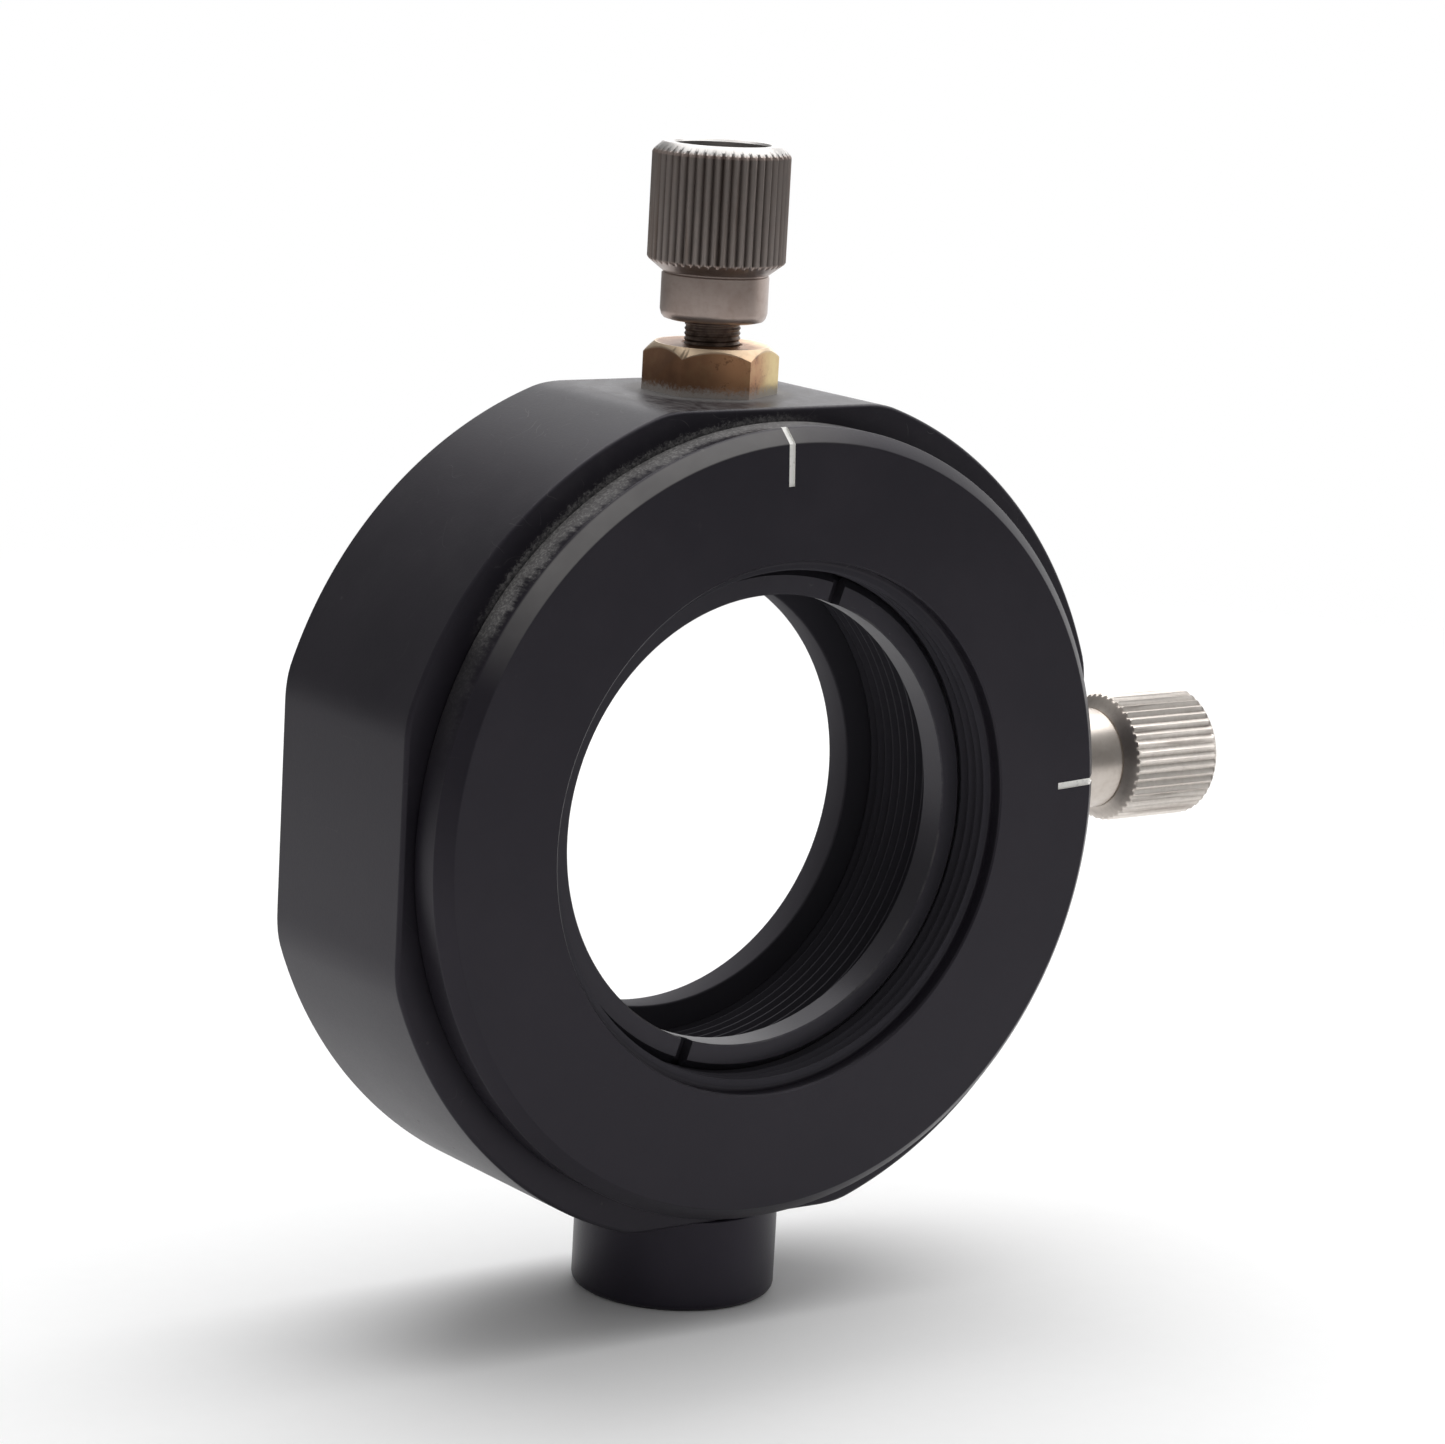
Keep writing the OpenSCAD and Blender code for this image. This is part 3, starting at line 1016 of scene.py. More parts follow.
class Workpiece:
    """A part on the bench: a mesh in millimetres, turned about Z."""

    def __init__(self, steps: int = 256) -> None:
        """Starts with an empty mesh.

        Args:
            steps: Facets in a full turn.
        """
        self.mesh = bmesh.new()
        self.steps = steps

    def turn(self, profile: Profile, closed: bool = True) -> Workpiece:
        """Spins a profile round the axis.

        Args:
            profile: The profile's corners, as (radius, height).
            closed: Whether the profile's last corner joins its first.

        Returns:
            This workpiece.
        """
        revolve(self.mesh, profile, closed, self.steps)
        bmesh.ops.remove_doubles(self.mesh, verts=self.mesh.verts[:], dist=WELD)
        return self

    def wind(self, thread: Thread, start: float, end: float, steps: int) -> Workpiece:
        """Winds a thread's surface round the axis and trims it flat at both ends.

        Args:
            thread: The thread.
            start: Height of its lower end.
            end: Height of its upper end.
            steps: Facets in a full turn.

        Returns:
            This workpiece.
        """
        strip = bmesh.new()
        run_in = start - 1.5 * thread.pitch
        tooth = [(r, run_in + h) for r, h in thread.tooth()]
        revolve(strip, tooth, False, steps, thread.pitch)
        one_turn = all_of(strip)
        for turn in range(1, math.ceil((end - start) / thread.pitch) + 3):
            more = bmesh.ops.duplicate(strip, geom=one_turn)["geom"]
            bmesh.ops.translate(
                strip,
                vec=(0, 0, turn * thread.pitch),
                verts=[v for v in more if isinstance(v, bmesh.types.BMVert)],
            )
        bmesh.ops.remove_doubles(strip, verts=strip.verts[:], dist=10 * WELD)
        for height, side in ((start, -1), (end, 1)):
            saw(strip, Vector((0, 0, height)), Vector((0, 0, side)))
        self.take(strip)
        return self

    def take(self, other: bmesh.types.BMesh) -> None:
        """Adds another mesh to this one.

        Args:
            other: The other mesh, which is used up.
        """
        spare = bpy.data.meshes.new("spare")
        other.to_mesh(spare)
        other.free()
        self.mesh.from_mesh(spare)
        bpy.data.meshes.remove(spare)

    def cap(self, height: float) -> Workpiece:
        """Fills the flat between the open loops at one height.

        Args:
            height: Where the loops lie.

        Returns:
            This workpiece.
        """
        rim = [
            e
            for e in self.mesh.edges
            if len(e.link_faces) < 2
            and all(abs(v.co.z - height) < 10 * WELD for v in e.verts)
        ]
        bmesh.ops.triangle_fill(
            self.mesh, use_beauty=True, use_dissolve=False, edges=rim
        )
        return self

    def box(
        self, low: Sequence[float], high: Sequence[float], turn: float = 0.0
    ) -> Workpiece:
        """Adds a box.

        Args:
            low: Its lowest corner.
            high: Its highest corner.
            turn: Degrees to turn it about the bench's axis afterwards.

        Returns:
            This workpiece.
        """
        a, b = Vector(low), Vector(high)
        place = (
            Matrix.Rotation(math.radians(turn), 4, "Z")
            @ Matrix.Translation((a + b) / 2)
            @ Matrix.Diagonal((*(b - a), 1.0))
        )
        bmesh.ops.create_cube(self.mesh, size=1.0, matrix=place)
        return self

    def rod(
        self, radius: float, start: float, end: float, place: Matrix | None = None
    ) -> Workpiece:
        """Adds a plain cylinder.

        Args:
            radius: Its radius.
            start: Height of its lower end.
            end: Height of its upper end.
            place: A matrix from its own bench to this one.

        Returns:
            This workpiece.
        """
        centre = Matrix.Translation((0, 0, (start + end) / 2))
        bmesh.ops.create_cone(
            self.mesh,
            cap_ends=True,
            segments=self.steps,
            radius1=radius,
            radius2=radius,
            depth=end - start,
            matrix=(place or Matrix.Identity(4)) @ centre,
        )
        return self

    def shift(self, place: Matrix) -> Workpiece:
        """Moves the whole workpiece by a matrix."""
        bmesh.ops.transform(self.mesh, matrix=place, verts=self.mesh.verts[:])
        return self

    def shave(
        self, reach: float, headings: Iterable[float], edge: float = 0.0
    ) -> Workpiece:
        """Mills flats along the axis.

        Args:
            reach: Distance of the flats from the axis.
            headings: The way each flat faces, in degrees about the axis.
            edge: Width of the bevel round each flat.

        Returns:
            This workpiece.
        """
        for heading in headings:
            angle = math.radians(heading)
            facing = Vector((math.cos(angle), math.sin(angle), 0.0))
            saw(self.mesh, facing * reach, facing)
            rim = [e for e in self.mesh.edges if e.is_boundary]
            made = bmesh.ops.holes_fill(self.mesh, edges=rim, sides=0)["faces"]
            if edge:
                bmesh.ops.recalc_face_normals(self.mesh, faces=self.mesh.faces[:])
                ease(self.mesh, list({e for f in made for e in f.edges}), edge, 3)
        return self

    def soften(self, width: float, reach: float) -> Workpiece:
        """Rounds every corner that lies outside a radius.

        Args:
            width: Width of the rounding on each side of the corner.
            reach: The radius.

        Returns:
            This workpiece.
        """
        self.mesh.normal_update()
        bend = math.radians(10)  # the least angle that counts as a corner
        corners = [
            e
            for e in self.mesh.edges
            if e.is_manifold
            and abs(e.calc_face_angle()) > bend
            and min(v.co.xy.length for v in e.verts) > reach
        ]
        ease(self.mesh, corners, width, 4)
        return self

    def as_object(self, name: str) -> bpy.types.Object:
        """Makes a passing object of the mesh.

        Args:
            name: The object's name.

        Returns:
            The object, still in millimetres.
        """
        bmesh.ops.recalc_face_normals(self.mesh, faces=self.mesh.faces[:])
        data = bpy.data.meshes.new(name)
        self.mesh.to_mesh(data)
        return show(name, data)

    def carve(self, *tools: Workpiece) -> Workpiece:
        """Cuts closed shapes out of this one.

        Args:
            tools: What is cut away; the tools are used up.

        Returns:
            This workpiece.
        """
        stock = self.as_object("stock")
        cutters = [tool.as_object("cutter") for tool in tools]
        for cutter in cutters:
            cut = stock.modifiers.new("cut", "BOOLEAN")
            cut.operation, cut.solver, cut.object = "DIFFERENCE", "EXACT", cutter
        depsgraph = bpy.context.evaluated_depsgraph_get()
        result = bpy.data.meshes.new_from_object(stock.evaluated_get(depsgraph))
        self.mesh.clear()
        self.mesh.from_mesh(result)
        bpy.data.meshes.remove(result)
        for item in (stock, *cutters):
            data = item.data
            bpy.data.objects.remove(item)
            bpy.data.meshes.remove(data)
        bmesh.ops.remove_doubles(self.mesh, verts=self.mesh.verts[:], dist=WELD)
        return self

    def drop(self, unwanted: Callable[[bmesh.types.BMFace], bool]) -> Workpiece:
        """Takes away the faces that a test picks."""
        bmesh.ops.delete(
            self.mesh, geom=[f for f in self.mesh.faces if unwanted(f)], context="FACES"
        )
        return self

    def finish(
        self,
        name: str,
        axis: Axis,
        materials: Sequence[bpy.types.Material],
        body: str,
        slot: str,
        stands_for: str,
        crease: float = 35.0,
        even: bool = True,
    ) -> bpy.types.Object:
        """Takes the part off the bench and seats it in the mount.

        Args:
            name: The piece's name.
            axis: The line that it sits on.
            materials: Its materials, in the order of its faces' numbers.
            body: The moving body that it rides on.
            slot: Not used.
            stands_for: The solid that it replaces.
            crease: Edges sharper than this, in degrees, stay sharp.
            even: Whether large faces keep their own direction in the shading.

        Returns:
            The finished piece.
        """
        bm = self.mesh
        bmesh.ops.remove_doubles(bm, verts=bm.verts[:], dist=2 * WELD)
        bmesh.ops.dissolve_degenerate(bm, edges=bm.edges[:], dist=WELD)
        bmesh.ops.recalc_face_normals(bm, faces=bm.faces[:])
        for face in bm.faces:
            face.smooth = True
        limit = math.radians(crease)
        for edge in bm.edges:
            edge.smooth = edge.calc_face_angle(math.pi) < limit
        open_edges = sum(1 for e in bm.edges if not e.is_manifold)
        bmesh.ops.transform(
            bm,
            matrix=Matrix.Scale(MM, 4) @ LAYOUT.seat(axis),
            verts=bm.verts[:],
        )
        data = bpy.data.meshes.new(name)
        bm.to_mesh(data)
        bm.free()
        piece = show(name, data)
        for material in materials:
            data.materials.append(material)
        if even:
            weighted = piece.modifiers.new("even shading", "WEIGHTED_NORMAL")
            weighted.keep_sharp = True
            weighted.mode = "FACE_AREA"
        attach(piece, body)
        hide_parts(stands_for)
        log.info("%s: %d faces, %d open edges", name, len(data.polygons), open_edges)
        return piece


# ---------------------------------------------------------------- housing


@dataclass
class Housing:
    """The round housing with its four flats, its rear cover and its post adapter."""

    front: float = 2.5
    back: float = 14.0
    disc_radius: float = 19.973
    body_radius: float = 21.578
    body_bevel: float = 0.22
    flat_reach: float = 20.628
    flat_ease: float = 0.28
    cavity_radius: float = 16.214
    pocket_floor: float = 3.5
    pocket_radius: float = 18.8
    guide_radius: float = 17.7
    guide_flat: float = 17.26
    guide_travel: float = 1.12
    chamber_radius: float = 19.128
    chamber_front: float = 11.0
    cover_radius: float = 19.628
    cover_front: float = 12.6
    cover_opening: float = 14.2
    slot_width: float = 1.5
    bushing_hole: float = 2.01
    plunger_hole: float = 1.32
    plunger_end: float = 18.878
    adjuster_depth: float = 8.6
    dust_ring: float = 3.75
    fringe_width: float = 0.5
    adapter_radius: float = 5.2
    adapter_round: float = 0.4
    spigot_radius: float = 4.0
    spigot_length: float = 1.05
    post_thread: Thread = Thread(0.79, 2.1, 1.74)
    mouth_depth: float = 0.1
    mouth_bevel: float = 0.12
    thread_end: float = 4.62

    def pocket_reach(self, angle: float) -> float:
        """Gives how far the guide ring's pocket reaches in one direction.

        Args:
            angle: The direction about the optical axis, in radians.

        Returns:
            The distance from the axis to the pocket's wall.
        """
        c, s = abs(math.cos(angle)), abs(math.sin(angle))
        travel, radius = self.guide_travel, self.guide_radius
        round_end = travel * c + math.sqrt(radius**2 - (travel * s) ** 2)
        return min(round_end, self.guide_flat / max(s, 1e-6))

    def body_reach(self, angle: float) -> float:
        """Gives how far the body reaches in one direction, with its four flats.

        Args:
            angle: The direction about the optical axis, in radians.

        Returns:
            The distance from the axis to the wall, eased where a flat meets the round.
        """
        flat = self.flat_reach / math.cos(math.remainder(angle, math.pi / 2))
        near = max(0.0, 1.0 - abs(flat - self.body_radius) / self.flat_ease)
        return min(flat, self.body_radius) - near * near * self.flat_ease / 4

    def build_body(self) -> bpy.types.Object:
        """Builds the housing's body.

        Returns:
            The finished piece.
        """
        profile = rounded(
            [
                (self.pocket_radius, self.front),
                (self.body_radius, self.front),
                (self.body_radius, self.back),
                (self.cover_radius, self.back, 0.08),
                (self.cover_radius, self.cover_front),
                (self.chamber_radius, self.cover_front),
                (self.chamber_radius, self.chamber_front),
                (self.cavity_radius, self.chamber_front),
                (self.cavity_radius, self.pocket_floor),
                (self.pocket_radius, self.pocket_floor),
            ]
        )
        part = Workpiece(steps=360).turn(profile)
        for vert in part.mesh.verts:
            radius = vert.co.xy.length
            angle = math.atan2(vert.co.y, vert.co.x)
            if abs(radius - self.pocket_radius) < NEAR:
                vert.co.xy *= self.pocket_reach(angle) / radius
            elif abs(radius - self.body_radius) < NEAR:
                vert.co.xy *= self.body_reach(angle) / radius
        part.soften(self.body_bevel, self.flat_reach - FIT)
        bench = LAYOUT.seat(Axis.OPTIC).inverted()
        inside, outside = self.cavity_radius - OVERCUT / 2, self.flat_reach + OVERCUT
        foot = LAYOUT.optic_height - self.flat_reach
        tools = [
            Workpiece(steps=48).rod(radius, inside, end, bench @ LAYOUT.seat(axis))
            for axis, radius, end in (
                (Axis.TOP, self.bushing_hole, outside),
                (Axis.SIDE, self.bushing_hole, outside),
                (Axis.BOTTOM, self.plunger_hole, self.plunger_end),
                (Axis.LEFT, self.plunger_hole, self.plunger_end),
            )
        ]
        tools.append(
            Workpiece(steps=64).rod(
                self.spigot_radius + FIT,
                foot - OVERCUT,
                foot + self.spigot_length + FIT,
                bench,
            )
        )
        part.carve(*tools)
        finish = Anodised(
            feet=Feet(self.flat_reach, self.adjuster_depth, self.dust_ring),
            fringe=Fringe(self.disc_radius, self.front, self.fringe_width),
        )
        return part.finish(
            "housing_body",
            Axis.OPTIC,
            [finish.material("satin_black_housing")],
            body="frame",
            slot="housing_black",
            stands_for="housing",
        )

    def build_cover(self) -> bpy.types.Object:
        """Builds the cover that is screwed into the housing's back.

        Returns:
            The finished piece.
        """
        outer = self.cover_radius - FIT
        profile = rounded(
            [
                (self.cover_opening, self.cover_front),
                (outer, self.cover_front),
                (outer, self.back, 0.06),
                (self.cover_opening, self.back, 0.12),
            ]
        )
        part = Workpiece().turn(profile)
        half = self.slot_width / 2
        low = (
            self.chamber_radius - self.slot_width,
            -half,
            self.back - (self.back - self.cover_front) / 2,
        )
        high = (outer + OVERCUT, half, self.back + OVERCUT)
        part.carve(*(Workpiece().box(low, high, turn) for turn in (0, 180)))
        finish = Anodised(rubbed=((self.cover_opening + 0.04, self.back),))
        return part.finish(
            "rear_cover_ring",
            Axis.OPTIC,
            [finish.material("satin_black_cover")],
            body="frame",
            slot="housing_black",
            stands_for="rear_cover",
        )

    def build_adapter(self) -> bpy.types.Object:
        """Builds the post adapter under the housing, with its tapped hole.

        Returns:
            The finished piece.
        """
        top = LAYOUT.optic_height - self.flat_reach
        mouth = self.post_thread.root + RELIEF
        profile = rounded(
            [
                (mouth, self.mouth_depth),
                (mouth + self.mouth_bevel, 0.0),
                (self.adapter_radius, 0.0, self.adapter_round),
                (self.adapter_radius, top, 0.1),
                (self.spigot_radius, top),
                (self.spigot_radius, top + self.spigot_length),
                (0.0, top + self.spigot_length),
            ],
            segments=4,
        )
        part = Workpiece(steps=160).turn(profile, closed=False)
        part.wind(self.post_thread, self.mouth_depth, self.thread_end, steps=72)
        part.cap(self.mouth_depth)
        part.cap(self.thread_end)
        finish = Anodised(
            black=(0.0135, 0.0115, 0.018),
            faded=(0.018, 0.0155, 0.0235),
            dusty=0.3,
            satin=0.36,
        )
        return part.finish(
            "post_adapter_stub",
            Axis.POST,
            [finish.material("satin_black_adapter", Axis.POST)],
            body="frame",
            slot="adapter_black",
            stands_for="post_adapter",
        )

    def build(self) -> None:
        """Builds and reports each piece of the housing."""
        self.build_body()
        self.build_cover()
        self.build_adapter()


# ---------------------------------------------------------------- lens cell


@dataclass
class LensCell:
    """The disc and tube that hold the lens, and the ring that clamps it."""

    disc_radius: float = Housing.disc_radius
    disc_back: float = 2.4
    disc_bevel: float = 0.7
    recess_radius: float = 18.723
    recess_floor: float = 1.4
    hub_radius: float = 15.0
    hub_back: float = 3.47
    hub_flat: float = 14.0
    tube_radius: float = 14.6
    tube_back: float = 12.1
    clear_radius: float = 11.4
    lip_front: float = 10.4
    lens_thread: Thread = Thread(0.635, 13.15, 12.82, 0.12, 0.16)
    mouth_radius: float = 13.42
    mouth_depth: float = 0.65
    mouth_bevel: float = 0.08
    seat_reach: float = 14.25
    seat_front: float = 6.2
    seat_back: float = 11.0
    pad_radius: float = 2.01
    pad_floor: float = 13.55
    pad_mouth: float = 16.0
    line_width: float = 0.34
    line_length: float = 2.1
    line_depth: float = 0.08
    line_turn: float = 3.0
    ring_front: float = 2.25
    ring_back: float = 3.85
    ring_radius: float = 12.78
    ring_bevel: float = 0.4
    ring_edge: float = 0.06
    ring_groove_width: float = 0.42
    ring_groove_depth: float = 0.26
    ring_slot_width: float = 0.75
    ring_slot_depth: float = 0.7
    ring_turn: float = 71.0

    @property
    def shoulder(self) -> float:
        """The radius at which the disc's face turns into its bevel."""
        return self.disc_radius - self.disc_bevel

    @property
    def line_headings(self) -> tuple[float, float]:
        """The two index lines' headings about the optical axis, in degrees."""
        return -self.line_turn, -90 - self.line_turn

    def index_cutters(self) -> list[Workpiece]:
        """Makes the cutters of the two index lines.

        Returns:
            For each line, a bar for the face and one for the bevel.
        """
        half = self.line_width / 2
        cutters = []
        for heading in self.line_headings:
            face = Workpiece().box(
                (self.shoulder - self.line_length, -half, -OVERCUT),
                (self.shoulder + 0.3, half, self.line_depth),
                heading,
            )
            slope = Workpiece().box(
                (-self.line_depth, -half, -OVERCUT),
                (self.disc_bevel * math.sqrt(2) + OVERCUT, half, self.line_depth),
            )
            slope.shift(
                Matrix.Rotation(math.radians(heading), 4, "Z")
                @ Matrix.Translation((self.shoulder, 0, 0))
                @ Matrix.Rotation(math.radians(-45), 4, "Y")
            )
            cutters += [face, slope]
        return cutters

    def mark_lines(self, part: Workpiece) -> None:
        """Gives the index lines' floors and walls their paint.

        Args:
            part: The cell, with the lines already cut.
        """
        inner_end = self.shoulder - self.line_length - 0.01
        for heading in self.line_headings:
            back = Matrix.Rotation(math.radians(-heading), 3, "Z")
            for face in part.mesh.faces:
                c = back @ face.calc_center_median()
                sunk = c.z - max(0.0, c.x - self.shoulder)
                along = inner_end < c.x < self.disc_radius
                across = abs(c.y) < self.line_width / 2 + 0.004
                if along and across and 0.012 < sunk < self.line_depth * 1.6:
                    face.material_index = 1

    def flat_cutters(self) -> list[Workpiece]:
        """Makes the cutters of the flats on the hub and on the tube.

        Returns:
            Two blocks for the guide ring, then four for the plungers and pads.
        """
        hub = (
            (self.hub_flat, -8, self.recess_floor - NEAR),
            (self.hub_flat + 3 * OVERCUT, 8, self.hub_back + NEAR),
        )
        tube = (
            (self.seat_reach, -5, self.seat_front),
            (self.seat_reach + 3 * OVERCUT, 5, self.seat_back),
        )
        return [
            Workpiece().box(*block, side)
            for block, sides in ((hub, (0, 180)), (tube, (0, 90, 180, 270)))
            for side in sides
        ]

    def pad_cutters(self) -> list[Workpiece]:
        """Makes the cutters of the two pockets for the hardened pads.

        Returns:
            A rod on each adjuster's axis.
        """
        bench = LAYOUT.seat(Axis.OPTIC).inverted()
        return [
            Workpiece(steps=48).rod(
                self.pad_radius,
                self.pad_floor,
                self.pad_mouth,
                bench @ LAYOUT.seat(axis),
            )
            for axis in (Axis.TOP, Axis.SIDE)
        ]

    def build_cell(self) -> bpy.types.Object:
        """Builds the lens cell.

        Returns:
            The finished piece.
        """
        thread = self.lens_thread
        mouth = thread.root + RELIEF
        profile = rounded(
            [
                (mouth, self.mouth_depth),
                (self.mouth_radius, self.mouth_depth),
                (self.mouth_radius, self.mouth_bevel),
                (self.mouth_radius + self.mouth_bevel, 0.0),
                (self.shoulder, 0.0, 0.12),
                (self.disc_radius, self.disc_bevel, 0.12),
                (self.disc_radius, self.disc_back, 0.08),
                (self.recess_radius, self.disc_back),
                (self.recess_radius, self.recess_floor),
                (self.hub_radius, self.recess_floor),
                (self.hub_radius, self.hub_back),
                (self.tube_radius, self.hub_back),
                (self.tube_radius, self.tube_back, 0.1),
                (self.clear_radius, self.tube_back, 0.25),
                (self.clear_radius, self.lip_front, 0.1),
                (mouth, self.lip_front),
            ]
        )
        part = Workpiece(steps=288).turn(profile)
        part.carve(*self.flat_cutters(), *self.pad_cutters(), *self.index_cutters())
        self.mark_lines(part)

        def lining(face: bmesh.types.BMFace) -> bool:
            """Picks the plain wall and floor that the thread takes the place of.

            Args:
                face: A face of the cell.

            Returns:
                Whether it is one of them.
            """
            bore = all(abs(v.co.xy.length - mouth) < NEAR for v in face.verts)
            floor = all(
                abs(v.co.z - self.lip_front) < 10 * WELD
                and v.co.xy.length < mouth + NEAR
                for v in face.verts
            )
            return bore or floor

        part.drop(lining)
        part.wind(thread, self.mouth_depth, self.lip_front, steps=144)
        part.cap(self.mouth_depth)
        part.cap(self.lip_front)
        for face in part.mesh.faces:
            if all(
                v.co.xy.length < mouth + NEAR
                and self.mouth_depth - NEAR < v.co.z < self.lip_front + NEAR
                for v in face.verts
            ):
                face.material_index = 2
        # The rim takes lint, and the upper left of its bevel takes a painted highlight.
        disc = Anodised(
            rim=Rim(self.disc_radius, self.disc_bevel, self.disc_back),
            # The inside of the bore is painted lighter as painted light.
            painted_light_bore=Bore(wall=13.25, front=0.5),
            dusty=0.4,
        )
        # Painted light: a lighter copy of the satin black for the deep thread and lip,
        # standing in for the light that reaches them.
        bore = Anodised(
            black=(0.034, 0.0325, 0.039),
            faded=(0.039, 0.037, 0.0445),
            satin=0.62,
            dusty=0.2,
            shine=0.14,
        )
        return part.finish(
            "lens_cell_body",
            Axis.OPTIC,
            [
                disc.material("satin_black_cell"),
                MarkingPaint().material("index_line_filler"),
                bore.material("satin_black_thread_painted_lighter"),
            ],
            body="cell",
            slot="cell_black",
            stands_for="lens_cell",
        )

    def build_ring(self) -> bpy.types.Object:
        """Builds the retaining ring that is screwed in against the lens.

        Returns:
            The finished piece.
        """
        edge, start = self.ring_edge, self.ring_front + self.ring_bevel
        grooves = []
        for turn in range(2):
            h = start + edge + turn * self.lens_thread.pitch
            grooves += [
                (self.ring_radius, h),
                (
                    self.ring_radius - self.ring_groove_depth,
                    h + self.ring_groove_width / 2,
                ),
                (self.ring_radius, h + self.ring_groove_width),
            ]
        profile = [
            (self.clear_radius, self.ring_front + edge),
            (self.clear_radius + edge, self.ring_front),
            (self.ring_radius - self.ring_bevel, self.ring_front),
            (self.ring_radius, start),
            *grooves,
            (self.ring_radius, self.ring_back),
            (self.clear_radius + edge, self.ring_back),
            (self.clear_radius, self.ring_back - edge),
        ]
        part = Workpiece().turn(profile)
        half = self.ring_slot_width / 2
        low = (10.0, -half, self.ring_front - OVERCUT)
        high = (14.0, half, self.ring_front + self.ring_slot_depth)
        part.carve(
            *(Workpiece().box(low, high, turn - self.ring_turn) for turn in (0, 180))
        )
        finish = Anodised(
            black=(0.026, 0.0245, 0.0298),
            faded=(0.031, 0.0293, 0.0355),
            rubbed=((self.clear_radius + 0.02, self.ring_front + 0.02),),
            satin=0.36,
            dusty=0.3,
        )
        return part.finish(
            "retaining_ring_turned",
            Axis.OPTIC,
            [finish.material("satin_black_ring")],
            body="lens_ring",
            slot="ring_black",
            stands_for="retaining_ring",
        )

    def build(self) -> None:
        """Builds and reports each piece of the cell."""
        self.build_cell()
        self.build_ring()


# ---------------------------------------------------------------- adjusters


